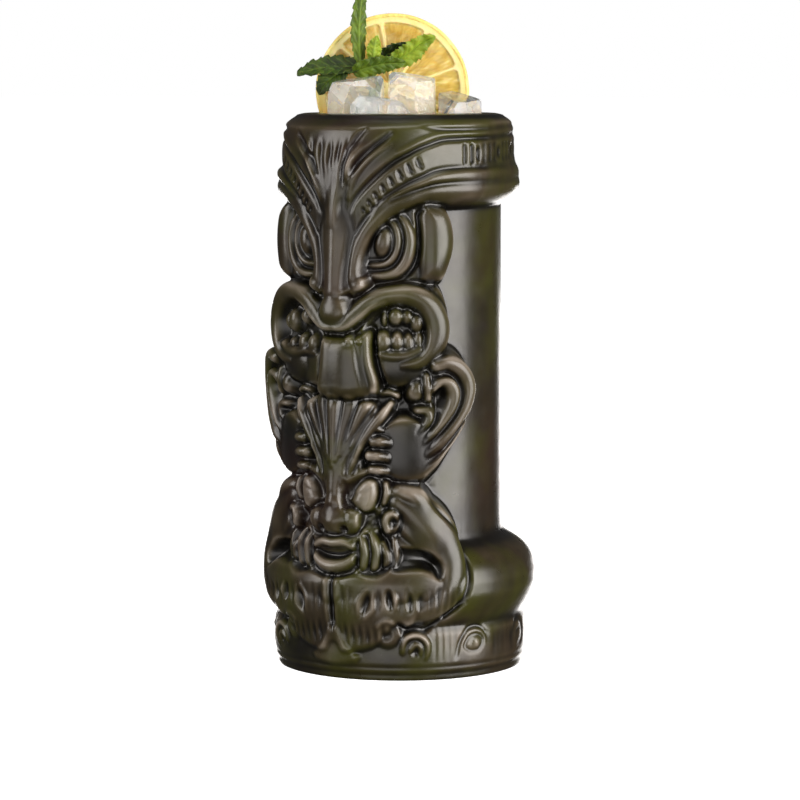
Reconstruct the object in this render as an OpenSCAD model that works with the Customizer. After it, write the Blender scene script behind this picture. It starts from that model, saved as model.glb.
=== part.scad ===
// Carved-figure drinking mug with its ice, lemon wheel and mint sprig.
// Origin: centre of the foot ring's underside. +Z is up and the figure faces -Y.
// Angles around the mug are counted from -Y, positive towards +X.

/* [Mug] */
// height of the rim above the table
mug_h = 176; // [140:1:220]
// radius of the drinking bore
bore_r = 27.5; // [24:0.5:30]
// radius of the round column behind the figure
post_r = 32; // [30:0.5:36]
// radius of the foot ring
foot_r = 40; // [36:0.5:44]
// largest radius of the rounded haunch above the foot
haunch_r = 43.8; // [41:0.1:46]
// thickness of the mug's floor, with the foot recess under it
floor_z = 8; // [6:0.5:12]

/* [Figure] */
// half angle covered by the carved figure
figure_half = 55; // [45:1:65]
// height of the upper figure's eyes
eye_z = 135.5; // [130:0.5:140]
// height of the upper figure's mouth corners
mouth_z = 107; // [102:0.5:112]
// number of upright notches in the headband
notch_count = 22; // [10:1:30]

/* [Garnish] */
// turn of the garnish about the vertical axis
garnish_turn = 30; // [0:5:60]
// radius of the lemon wheel
lemon_r = 24.5; // [20:0.5:26]
// thickness of the lemon wheel
lemon_t = 5; // [3:0.5:6]
// height of the top of the packed ice that the garnish stands on
bed_top = 158.5; // [150:0.5:162]
// depth of the packed ice
bed_depth = 28; // [20:1:40]
// clear gap between pieces that lift out one at a time
gap = 0.4; // [0.3:0.1:1]

/* [Hidden] */
$fn = 96;
lemon_z = bed_top + gap + lemon_r;
lemon_y = 3.2;
segments = 9;
leaf_t = 0.9;

// a point on the mug: angle, height, distance from the axis
function on_mug(p) = [p[2] * sin(p[0]), -p[2] * cos(p[0]), p[1]];

module at(a, z, r) {
  rotate([0, 0, a]) translate([0, -r, z]) children();
}

module both() {
  children();
  mirror([1, 0, 0]) children();
}

// a round bar between two points
module rod(p, q, t) {
  d = q - p;
  h = norm(d);
  translate(p) rotate([0, acos(d[2] / h), atan2(d[1], d[0])]) cylinder(r = t, h = h);
}

// a rounded roll that follows points given as angle, height, distance from the axis
module roll(points, t) {
  for (i = [0 : len(points) - 1]) translate(on_mug(points[i])) sphere(r = t * 1.04);
  for (i = [0 : len(points) - 2]) rod(on_mug(points[i]), on_mug(points[i + 1]), t);
}

// a raised ring that lies on the mug's side
module side_ring(a, z, r, big, small) {
  at(a, z, r) rotate([90, 0, 0]) rotate_extrude() translate([big, 0]) circle(r = small);
}

module bump(a, z, r, t) {
  at(a, z, r) sphere(r = t);
}

// foot, haunch, column and headband, turned about the axis
module turned_body() {
  rotate_extrude() {
    polygon([[0, 2], [33, 2], [34.5, 0], [39, 0], [foot_r, 1], [foot_r + 0.3, 12],
      [foot_r - 1, 17], [36, 42], [post_r + 1, 44.5], [post_r, 60], [post_r - 0.2, 146.6],
      [34.6, 148.9], [38.2, 151.4], [38, 154], [36.9, 156.6], [36.9, 158.2], [36.6, 166.4],
      [35.9, 168], [36.2, 170.6], [35, 173], [32, 175.4], [30, mug_h], [28, 175.2], [0, 175.2]]);
    translate([haunch_r - 13.8, 28.8]) circle(r = 13.8);
    translate([34, 152.3]) circle(r = 4.3);
    translate([30.8, 171.2]) circle(r = 4.8);
  }
}

// rounded slab of clay that carries the figure's carving
module figure_slab() {
  rotate([0, 0, -90 - figure_half]) rotate_extrude(angle = 2 * figure_half)
    polygon([[28, 16], [41, 18], [41.4, 27], [39, 40], [36.4, 50], [36.2, 58], [37.6, 66],
      [38.6, 76], [38.4, 90], [37.2, 100], [36.6, 116], [34.6, 122], [35.6, 132], [36, 146],
      [38, 152], [28, 154]]);
}

// brows, nose and eyes of the upper figure
module upper_face() {
  both() {
    roll([[56, 151, 34.4], [31, 149, 35.2], [10, 139.5, 36.6], [8.5, 125, 37.4]], 4.4);
    side_ring(22, eye_z, 35.4, 9.4, 1.7);
    bump(22, eye_z, 33.6, 4.6);
  }
  roll([[0, 160, 35.2], [0, 120, 38.6]], 4.6);
}

// lips, cheeks and tongue of the upper figure
module upper_mouth() {
  both() side_ring(32, mouth_z, 36.4, 12, 4.4);
  roll([[-14, 117, 37.4], [0, 112.4, 37.8], [14, 117, 37.4]], 3.5);
  roll([[0, 91.5, 35.2], [0, 103, 35.4]], 7.6);
}

// raised arms and hands
module arms() {
  both() {
    side_ring(57, 88, 33.8, 8.6, 3.4);
    roll([[72, 86, 33.6], [62, 71, 34.8], [44, 61.5, 36]], 4.9);
    roll([[29, 65, 37.2], [28, 76, 37]], 4.6);
  }
}

// head of the lower figure
module lower_head() {
  roll([[0, 80, 34.8], [0, 50, 39.2]], 4.4);
  both() {
    bump(6, 47.8, 38.6, 4.1);
    bump(12.2, 56, 34.4, 6.1);
  }
  roll([[-12, 37, 38], [0, 34.2, 39.4], [12, 37, 38]], 2.5);
}

// thighs, shins and feet of the lower figure
module limbs() {
  both() {
    roll([[28, 55.5, 35.4], [44, 49, 36], [55, 37, 36.8], [50, 26, 36.6]], 5.2);
    roll([[9, 24.5, 35.6], [44, 24.9, 35.2]], 7.8);
    roll([[8.5, 12.5, 35.8], [26, 14, 35.6]], 6);
  }
}

// upright notches of the headband, left out where the brows sweep over it
module band_notches() {
  first = 66;
  step = (360 - 2 * first) / notch_count;
  for (i = [0 : notch_count]) at(first + i * step, 162.3, 37.8)
    cube([1.5, 3.2, 6.6], center = true);
}

module mouth_hollows() {
  both() difference() {
    at(32, mouth_z, 46) rotate([-90, 0, 0]) cylinder(r = 8.2, h = 11.4);
    for (i = [-1 : 1]) {
      at(32 + i * 7.5, mouth_z + 5.2, 34) rotate([90, 0, 0]) cylinder(r = 2.1, h = 5.6);
      at(32 + i * 7.2, mouth_z - 4.2, 34) rotate([90, 0, 0]) cylinder(r = 2.2, h = 5.6);
    }
  }
}

module mug_body() {
  color([0.16, 0.15, 0.1]) difference() {
    union() {
      turned_body();
      figure_slab();
      upper_face();
      upper_mouth();
      arms();
      lower_head();
      limbs();
    }
    band_notches();
    mouth_hollows();
    translate([-0.5, -46, 8]) cube([1, 5.2, 22]);
    both() translate(on_mug([4.2, 118.6, 42.5])) sphere(r = 1.5);
    rotate_extrude() polygon([[0, floor_z], [bore_r, floor_z], [bore_r, 173.6], [28.4, 176.5],
      [28.4, 180], [0, 180]]);
  }
}

module garnish() {
  rotate([0, 0, garnish_turn]) children();
}

module ice_bed() {
  color([0.9, 0.94, 0.96, 0.4]) garnish() intersection() {
    translate([0, 0, bed_top - bed_depth]) cylinder(r = bore_r - 0.6, h = bed_depth);
    rotate([0, 0, 10]) cube([53.2, 52.6, 400], center = true);
    rotate([0, 0, 52]) cube([52.8, 53.4, 400], center = true);
  }
}

// one lump of ice: an upright prism on an outline, its top knocked off by two slanting faces
module ice_lump(outline, h, lean_x, lean_y) {
  color([0.9, 0.94, 0.96, 0.4]) garnish() intersection() {
    translate([0, 0, bed_top + gap]) linear_extrude(height = h) polygon(outline);
    translate([0, 0, bed_top + h]) rotate([lean_y, lean_x, 0]) translate([0, 0, -60])
      cube([200, 200, 120], center = true);
  }
}

module ice_cube_left() {
  ice_lump([[-23.4, -7], [-22.6, -11.6], [-17.6, -18.6], [-6.2, -17.6], [-4.8, -8.2],
    [-6.4, -6.8]], 31, -7, 6);
}

module ice_cube_front() {
  ice_lump([[-15.6, -19.6], [-10.8, -23.6], [3.2, -25], [4.2, -19.6], [1.2, -18.4],
    [-4.2, -18.4]], 26.4, 8, 14);
}

module ice_cube_middle() {
  ice_lump([[-3.9, -7.4], [-3.2, -17.6], [4.6, -18.6], [10.6, -14.4], [11.4, -7.6], [3, -6.9]],
    31.4, 9, 7);
}

module ice_cube_right() {
  ice_lump([[12.2, -7.6], [12, -15.6], [17.8, -20], [22.6, -13.6], [26, -4.6], [25.6, 1.8],
    [14.4, 2.4]], 28, 13, 9);
}

module ice_cube_back_left() {
  ice_lump([[-23.6, 9], [-2.2, 8.9], [-1.6, 20.4], [-6.4, 25], [-14.8, 21.6]], 26, 6, -12);
}

module ice_cube_back_right() {
  ice_lump([[-0.6, 8.9], [22.8, 9.2], [17.2, 19.6], [6.4, 25.2], [-0.4, 21]], 24, -8, -10);
}

// the lemon wheel stands on edge, facing the same way as the garnish
module wheel_frame() {
  garnish() translate([-1, lemon_y, lemon_z]) rotate([-90, 0, 0]) children();
}

module lemon_peel() {
  color([0.95, 0.78, 0.15]) wheel_frame() difference() {
    cylinder(r = lemon_r, h = lemon_t);
    translate([0, 0, -1]) cylinder(r = lemon_r - 1.5, h = lemon_t + 2);
  }
}

module segment_cut(i, clear) {
  // a wedge with its point held back from the wheel's middle
  a = 360 / segments;
  rotate([0, 0, i * a]) intersection() {
    translate([0, 0, -1 + clear]) cylinder(r = lemon_r - 3.6, h = lemon_t + 2 - 2 * clear);
    translate([0, 0, -1 + clear]) linear_extrude(height = lemon_t + 2 - 2 * clear)
      polygon([[1.9, 0], [30 * cos(a / 2 - 1.6), 30 * sin(a / 2 - 1.6)],
        [30 * cos(a / 2 - 1.6), -30 * sin(a / 2 - 1.6)]]);
  }
}

module lemon_pith() {
  color([0.97, 0.94, 0.8]) wheel_frame() difference() {
    translate([0, 0, 0.15]) cylinder(r = lemon_r - 1.5, h = lemon_t - 0.3);
    for (i = [0 : segments - 1]) segment_cut(i, 0);
  }
}

module lemon_flesh() {
  color([0.88, 0.76, 0.35]) wheel_frame() for (i = [0 : segments - 1]) segment_cut(i, 1.2);
}

// a leaf blade with two curved edges, standing on its stalk end at the origin
module leaf(length, width) {
  r = (length * length + width * width) / (4 * width);
  translate([0, leaf_t / 2, 0]) rotate([90, 0, 0]) linear_extrude(height = leaf_t) intersection() {
    translate([r - width / 2, length / 2]) circle(r = r);
    translate([width / 2 - r, length / 2]) circle(r = r);
  }
  translate([0, 0, length * 0.04]) rod([0, 0, 0], [0, 0, length * 0.8], 0.7);
}

module sprig(p, spin, lean, turn) {
  // p: stalk end in garnish axes with its height counted from the packed ice
  // spin: about the leaf's own length, lean: away from upright
  color([0.2, 0.42, 0.08]) garnish() translate(p + [0, 0, bed_top]) rotate([0, lean, 0]) rotate([turn, 0, 0])
    rotate([0, 0, spin]) children();
}

module mint_stem() {
  color([0.36, 0.44, 0.12]) garnish() {
    rod([-9.5, -2.2, bed_top + gap], [-9.5, -2.2, bed_top + 33.5], 1.2);
    translate([-9.5, -2.2, bed_top + 33.5]) sphere(r = 1.9);
  }
}

module mint_leaf_tall() {
  sprig([-12.6, -3.4, 33], 12, -3, 4) leaf(28, 6.4);
}

module mint_leaf_left() {
  sprig([-12.2, -1, 32.1], 32, -82, 0) leaf(20.5, 8.4);
}

module mint_leaf_droop() {
  sprig([-19.6, -4.6, 30.3], 18, -146, 0) leaf(11.2, 5.6);
}

module mint_leaf_curl() {
  sprig([-9, -5.4, 34.9], 20, 8, 6) leaf(6.6, 4);
}

module mint_leaf_dark() {
  sprig([-7.4, -0.4, 34.1], -24, 66, 0) leaf(9.4, 5.4);
}

module mint_leaf_right() {
  sprig([-3.2, -4.2, 33.9], 28, 56, 0) leaf(14.8, 6.2);
}

module mint_leaf_low() {
  sprig([-13.6, -4.4, 30.7], 26, 84, 4) leaf(15.4, 6.4);
}

mug_body();
ice_bed();
ice_cube_left();
ice_cube_front();
ice_cube_middle();
ice_cube_right();
ice_cube_back_left();
ice_cube_back_right();
lemon_peel();
lemon_pith();
lemon_flesh();
mint_stem();
mint_leaf_tall();
mint_leaf_left();
mint_leaf_droop();
mint_leaf_curl();
mint_leaf_dark();
mint_leaf_right();
mint_leaf_low();
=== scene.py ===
"""Glazed carved-figure mug with ice, a lemon wheel and mint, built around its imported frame."""

import math

import bmesh
import bpy
import numpy as np
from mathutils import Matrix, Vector, noise


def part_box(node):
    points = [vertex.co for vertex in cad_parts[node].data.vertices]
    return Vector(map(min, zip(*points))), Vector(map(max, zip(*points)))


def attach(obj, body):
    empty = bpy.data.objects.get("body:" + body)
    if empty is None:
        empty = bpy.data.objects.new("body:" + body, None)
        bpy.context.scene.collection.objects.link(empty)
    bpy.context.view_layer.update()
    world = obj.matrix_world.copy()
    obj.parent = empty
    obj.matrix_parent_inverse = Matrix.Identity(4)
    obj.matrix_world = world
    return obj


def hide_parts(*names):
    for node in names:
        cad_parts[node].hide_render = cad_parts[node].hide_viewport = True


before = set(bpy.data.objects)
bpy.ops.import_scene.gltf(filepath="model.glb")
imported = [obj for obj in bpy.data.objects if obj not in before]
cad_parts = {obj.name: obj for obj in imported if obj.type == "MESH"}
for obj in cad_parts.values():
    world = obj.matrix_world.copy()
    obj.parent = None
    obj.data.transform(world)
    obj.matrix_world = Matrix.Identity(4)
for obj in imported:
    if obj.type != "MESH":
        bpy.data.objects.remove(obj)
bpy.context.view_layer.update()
MM = 0.001

# sizes in millimetres
RIM_Z = 176.0
FLOOR_Z = 8.0  # floor of the drink space
BORE_R = 27.5
LIP_R = 29.4  # top of the rolled rim
RIM_START = 170.5  # from here up the rim's own profile limits the body
RELIEF_TOP = 175.4
FOOT_R = 40.55
FOOT_ROUND = 1.4
UNDER_Z = 2.0  # underside inside the foot ring
LEMON = (-2.4, 3.2, 183.0)  # middle of the wheel's front face, in the garnish's axes
LEMON_R = 24.5
LEMON_T = 5.0
PEEL = 1.5  # thickness of the peel
SEGMENTS = 9
LEAF_THICKNESS = 0.34
GARNISH_TURN = math.radians(30)  # the garnish faces the camera, this far round from the mug's front


def soft_curve(points, steps):
    """A smooth curve through the points. steps gives the number of pieces between two of them."""
    ends = np.vstack([2 * points[0] - points[1], points, 2 * points[-1] - points[-2]])
    out = []
    for a, b, c, d in zip(ends[:-3], ends[1:-2], ends[2:-1], ends[3:]):
        t = np.linspace(0, 1, steps(b, c), endpoint=False)[:, None]
        out.append(0.5 * (2 * b + (c - a) * t + (2 * a - 5 * b + 4 * c - d) * t ** 2
                          + (3 * b - a - 3 * c + d) * t ** 3))
    return np.vstack(out + [points[-1:]])


def link_mesh(name, mesh, material, smooth=True):
    obj = bpy.data.objects.new(name, mesh)
    bpy.context.scene.collection.objects.link(obj)
    mesh.materials.append(material)
    if smooth:
        mesh.polygons.foreach_set("use_smooth", [True] * len(mesh.polygons))
    return obj


def mesh_object(name, verts, faces, material):
    mesh = bpy.data.meshes.new(name)
    mesh.from_pydata([tuple(v) for v in verts], [], faces)
    mesh.update()
    return link_mesh(name, mesh, material)


def apply_modifiers(obj):
    graph = bpy.context.evaluated_depsgraph_get()
    graph.update()
    new = bpy.data.meshes.new_from_object(obj.evaluated_get(graph), depsgraph=graph)
    obj.modifiers.clear()
    obj.data = new


def add_value(obj, name, values):
    data = obj.data.attributes.new(name, "FLOAT", "POINT")
    data.data.foreach_set("value", np.asarray(values, np.float32))


def unit(value):
    """The value held between 0 and 1."""
    return min(max(value, 0), 1)


# ---------------------------------------------------------------- the carved relief
# The mug's outside is a distance from the axis given over angle and height. Angles are in degrees from
# the front (-Y), heights and distances in millimetres. Each half is carved in turn with the same strokes,
# and the two differ only at the forehead, the mouth and the tongue.

ARC = 0.70  # millimetres along the surface for one degree, near enough for widths
STEP = 0.7  # length of the straight pieces that a stroke is made of


def drawn_line(points, soft=True):
    """A stroke's points with the angles turned into millimetres, and a soft curve drawn through them."""
    p = np.array(points, float)
    p[:, 0] *= ARC
    if not soft or len(p) < 3:
        return p
    return soft_curve(p, lambda b, c: max(2, int(math.hypot(c[0] - b[0], c[1] - b[1]) / STEP)))


def ease(x, low, high):
    """0 at low, 1 at high, and a soft change between them."""
    t = np.clip((x - low) / (high - low), 0, 1)
    return t * t * (3 - 2 * t)


class Relief:
    """The distance R from the axis over a grid of angles P and heights Z. A is the angle in millimetres."""

    def __init__(self, phi, z):
        self.phi, self.z = phi, z
        self.A, self.Z = np.meshgrid(phi * ARC, z)
        self.P = self.A / ARC
        self.R = np.zeros_like(self.A)

    def window(self, p, reach):
        """The part of the grid that is within reach of some points."""
        c0, c1 = np.searchsorted(self.phi * ARC, [p[:, 0].min() - reach, p[:, 0].max() + reach])
        r0, r1 = np.searchsorted(self.z, [p[:, 1].min() - reach, p[:, 1].max() + reach])
        return slice(r0, r1), slice(c0, c1)

    def near(self, p, reach):
        """Distance to a line, with the line's own extra values where it is nearest."""
        w = self.window(p, reach)
        A, Z = self.A[w], self.Z[w]
        best = np.full(A.shape, 1e6)
        extra = [np.zeros(A.shape) for _ in range(p.shape[1] - 2)]
        for a, b in zip(p[:-1], p[1:]):
            dx, dz = b[0] - a[0], b[1] - a[1]
            size = max(dx * dx + dz * dz, 1e-9)
            t = np.clip(((A - a[0]) * dx + (Z - a[1]) * dz) / size, 0, 1)
            d = np.hypot(A - a[0] - t * dx, Z - a[1] - t * dz)
            m = d < best
            best[m] = d[m]
            for k, e in enumerate(extra):
                e[m] = (a[k + 2] + t * (b[k + 2] - a[k + 2]))[m]
        return w, best, extra

    def inside(self, outline, reach, soft=True):
        """Distance in from an outline: positive inside, negative outside."""
        p = drawn_line(outline + outline[:1], soft)
        w, d, _ = self.near(p, reach)
        A, Z = self.A[w], self.Z[w]
        odd = np.zeros(A.shape, bool)
        for a, b in zip(p[:-1], p[1:]):
            if a[1] == b[1]:
                continue
            cross = (a[1] > Z) != (b[1] > Z)
            odd ^= cross & (A < (b[0] - a[0]) * (Z - a[1]) / (b[1] - a[1]) + a[0])
        return w, np.where(odd, d, -d)

    def raise_to(self, w, value, soft=0.5):
        """Smooth largest of what is there and the new value."""
        r = self.R[w]
        gap = r - value
        blend = np.sqrt(gap ** 2 + soft * soft) - soft * np.exp(-(gap / soft) ** 2)
        self.R[w] = 0.5 * (r + value + blend)

    def tube(self, points, rise, soft=0.5):
        """A rounded strand: points give angle, height, half width and the distance of its crest."""
        reach = max(p[2] for p in points) + 2.5
        w, d, (half, crest) = self.near(drawn_line(points), reach)
        round_top = np.sqrt(np.clip(1 - (d / half) ** 2, 0, 1))
        value = crest - rise * (1 - round_top) - np.clip(d - half, 0, None) * 2.2
        self.raise_to(w, value, soft)

    def tent(self, points, slope, soft=0.8):
        """A ridge with straight flanks: points give angle, height, reach to each side and crest distance."""
        reach = max(p[2] for p in points)
        w, d, (half, crest) = self.near(drawn_line(points), reach)
        value = crest - slope * np.sqrt(d * d + 1.2) - np.clip(d - half, 0, None) * 2.0
        self.raise_to(w, value, soft)

    def oval(self, phi, z, wide, tall, turn, reach):
        """The grid near an oval, with the square of the share of its size at which each place lies."""
        w = self.window(np.array([[phi * ARC, z]]), reach)
        c, s = math.cos(math.radians(turn)), math.sin(math.radians(turn))
        a, b = self.A[w] - phi * ARC, self.Z[w] - z
        return w, ((a * c + b * s) / wide) ** 2 + ((b * c - a * s) / tall) ** 2

    def patch(self, outline, top, edge, drop, soft=0.4, smooth=True):
        """A raised area with rounded edges. top may be a number or a function of angle and height."""
        w, d = self.inside(outline, 3.0, smooth)
        t = np.clip(d / edge, 0, 1)
        high = top(self.P[w], self.Z[w]) if callable(top) else top
        value = high - drop * (1 - np.sqrt(np.clip(1 - (1 - t) ** 2, 0, 1))) - np.clip(-d, 0, None) * 4
        self.raise_to(w, value, soft)

    def dome(self, phi, z, wide, tall, crest, rise, turn=0.0, soft=0.4):
        """An oval boss."""
        w, q = self.oval(phi, z, wide, tall, turn, max(wide, tall) + 2)
        beyond = np.clip(np.sqrt(q) - 1, 0, None) * min(wide, tall)
        self.raise_to(w, crest - rise * (1 - np.sqrt(np.clip(1 - q, 0, 1))) - beyond * 2.2, soft)

    def pit(self, phi, z, wide, tall, depth, turn=0.0, power=1.0):
        """An oval hollow pressed into what is there."""
        w, q = self.oval(phi, z, wide, tall, turn, max(wide, tall) * 1.4)
        self.R[w] -= depth * np.clip(1 - q, 0, 1) ** power

    def groove(self, points, scale=1.0):
        """A cut line: points give angle, height, half width and depth."""
        w, d, (half, depth) = self.near(drawn_line(points), max(p[2] for p in points) + 0.5)
        self.R[w] -= scale * depth * np.clip(1 - (d / half) ** 2, 0, 1) ** 1.5

    def ridge(self, points):
        """A raised line: points give angle, height, half width and height."""
        w, d, (half, high) = self.near(drawn_line(points), max(p[2] for p in points) + 0.5)
        self.R[w] += high * np.clip(1 - (d / half) ** 2, 0, 1) ** 0.9

    def at(self, phi, z):
        """The surface's distance from the axis at one place."""
        i = min(np.searchsorted(self.z, z), len(self.z) - 1)
        j = min(np.searchsorted(self.phi, phi), len(self.phi) - 1)
        return float(self.R[i, j])


# the mug behind the figure, from the table up: height, distance from the axis
BACK = [(0, 39.5), (0.5, 40.05), (2, 40.35), (6, 40.45), (12.4, 40.3), (13.6, 39.8), (14.6, 39.55),
        (15.6, 39.9), (17.2, 40.9), (19, 41.9), (21.5, 42.9), (25, 43.7), (28, 43.7), (31, 43.0),
        (33.4, 41.8), (35.8, 39.7), (37.8, 36.9), (39.4, 34.3), (40.8, 33.1), (42.6, 32.75), (60, 32.5),
        (100, 32.35), (146.2, 32.2), (158, 32.2), (176, 31)]
# the turned headband at the back and sides, above the column
BAND = [(145.5, 31.4), (146.6, 33.8), (147.6, 35.5), (148.6, 36.6), (149.6, 37.4), (150.6, 37.9),
        (152.2, 38.2), (153.4, 37.9), (154.2, 37.85), (155.3, 37.95), (156.5, 37.7), (157.6, 37.2),
        (158.4, 36.8), (159.4, 36.6), (163, 36.7), (166.6, 36.3), (167.3, 35.8), (167.9, 35.7),
        (168.8, 36.1), (169.7, 36.0), (170.4, 35.5), (171.2, 35.6), (172.2, 35.5), (176, 35.2)]
# how far the forehead stands out at the very front
BROW = [(112, 40.6), (118, 41.2), (126, 40.4), (135, 39.6), (150, 40.6), (158, 40.6), (164, 40.2),
        (168, 39.4), (171, 38.4), (173, 37.6), (176, 37)]
# the outside of the rim, which cuts off whatever is carved beyond it
RIM = [(RIM_START, 40.5), (172, 37.6), (173.2, 35.7), (174, 34.7), (174.8, 33.5), (175.4, 32.3),
       (176, 30.5)]
# the headband's lower edge, which sweeps down to the nose: angle, height
LINE_EDGE = [(186, 146.4), (100, 146.4), (60, 146.6), (50, 147.4), (44, 147.9), (38, 147.3), (31.2, 145.4),
             (25.6, 143.2), (20.8, 140.2), (17.6, 137.2), (15.4, 133.5), (13.9, 129.3), (13.5, 124.8),
             (13.6, 121.6), (11.5, 119.6), (8.6, 118.2), (4.6, 116.2), (1.6, 114.8), (-1.6, 114.8),
             (-6, 116)]


def curve(table):
    """A function that runs smoothly through a table and never swings past its values."""
    x, y = np.array(table, float).T
    h = np.diff(x)
    s = np.diff(y) / h
    m = np.zeros_like(y)
    both = s[:-1] * s[1:]
    m[1:-1] = np.where(both > 0, 2 * both / np.where(s[:-1] + s[1:] == 0, 1, s[:-1] + s[1:]), 0)
    m[0], m[-1] = s[0], s[-1]

    def f(v):
        v = np.clip(v, x[0], x[-1])
        i = np.clip(np.searchsorted(x, v, side="right") - 1, 0, len(h) - 1)
        u = (v - x[i]) / h[i]
        return ((2 * u ** 3 - 3 * u ** 2 + 1) * y[i] + (u ** 3 - 2 * u ** 2 + u) * h[i] * m[i]
                + (-2 * u ** 3 + 3 * u ** 2) * y[i + 1] + (u ** 3 - u ** 2) * h[i] * m[i + 1])
    return f


def level(phi, z):
    """The carving is drawn on slightly raised heights: this gives the drawn height for a real one."""
    near = np.clip(np.cos(np.radians(phi - 30)), 0, 1)
    shift = 2.6 - 0.34 * near
    shrink = 0.0036 + 0.0086 * near
    return (z - shift) / (1 - shrink)


# these are partly glaze run thin or pooled, and partly painted highlight, painted reflection and painted
# shade
# lighter (more) or darker (less) patches: angle, height, half width, half height, how much
GLAZE_AND_SHADE_SPOTS = [(14.5, 58.6, 3.6, 4.2, 0.42), (52, 12.0, 8, 6, 0.25), (34, 60.0, 5, 3.0, 0.22),
               (52, 164, 9, 4, 0.18), (56, 92, 6, 8, 0.10), (32, 72, 8, 8, -0.30), (20, 22, 15, 9, 0.13),
               (34, 38, 8, 4, -0.18), (26, 107, 7, 3, 0.05), (30, 94, 10, 4, -0.24), (7, 44, 6, 3, 0.05),
               (60, 47, 8, 5, -0.1), (0, 8.5, 6, 4.5, 0.3), (24, 7, 7, 4.5, -0.25), (44, 47, 7, 5, 0.16),
               (0, 134, 3.4, 14, 0.12), (38, 82, 4, 6, -0.2), (66, 9, 4, 4, 0.2), (28, 148, 14, 3, -0.08)]


def carve(r, left):
    """The whole carving of one side, from the plain turned body to the finest lines."""
    back, band, brow = curve(BACK), curve(BAND), curve(BROW)
    r.R[:] = back(r.Z)
    carve_headband(r, band, brow, left)
    carve_eyes(r)
    carve_mouth(r, left)
    carve_arms(r)
    carve_lower_head(r)
    carve_limbs(r)
    carve_foot(r)


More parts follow.
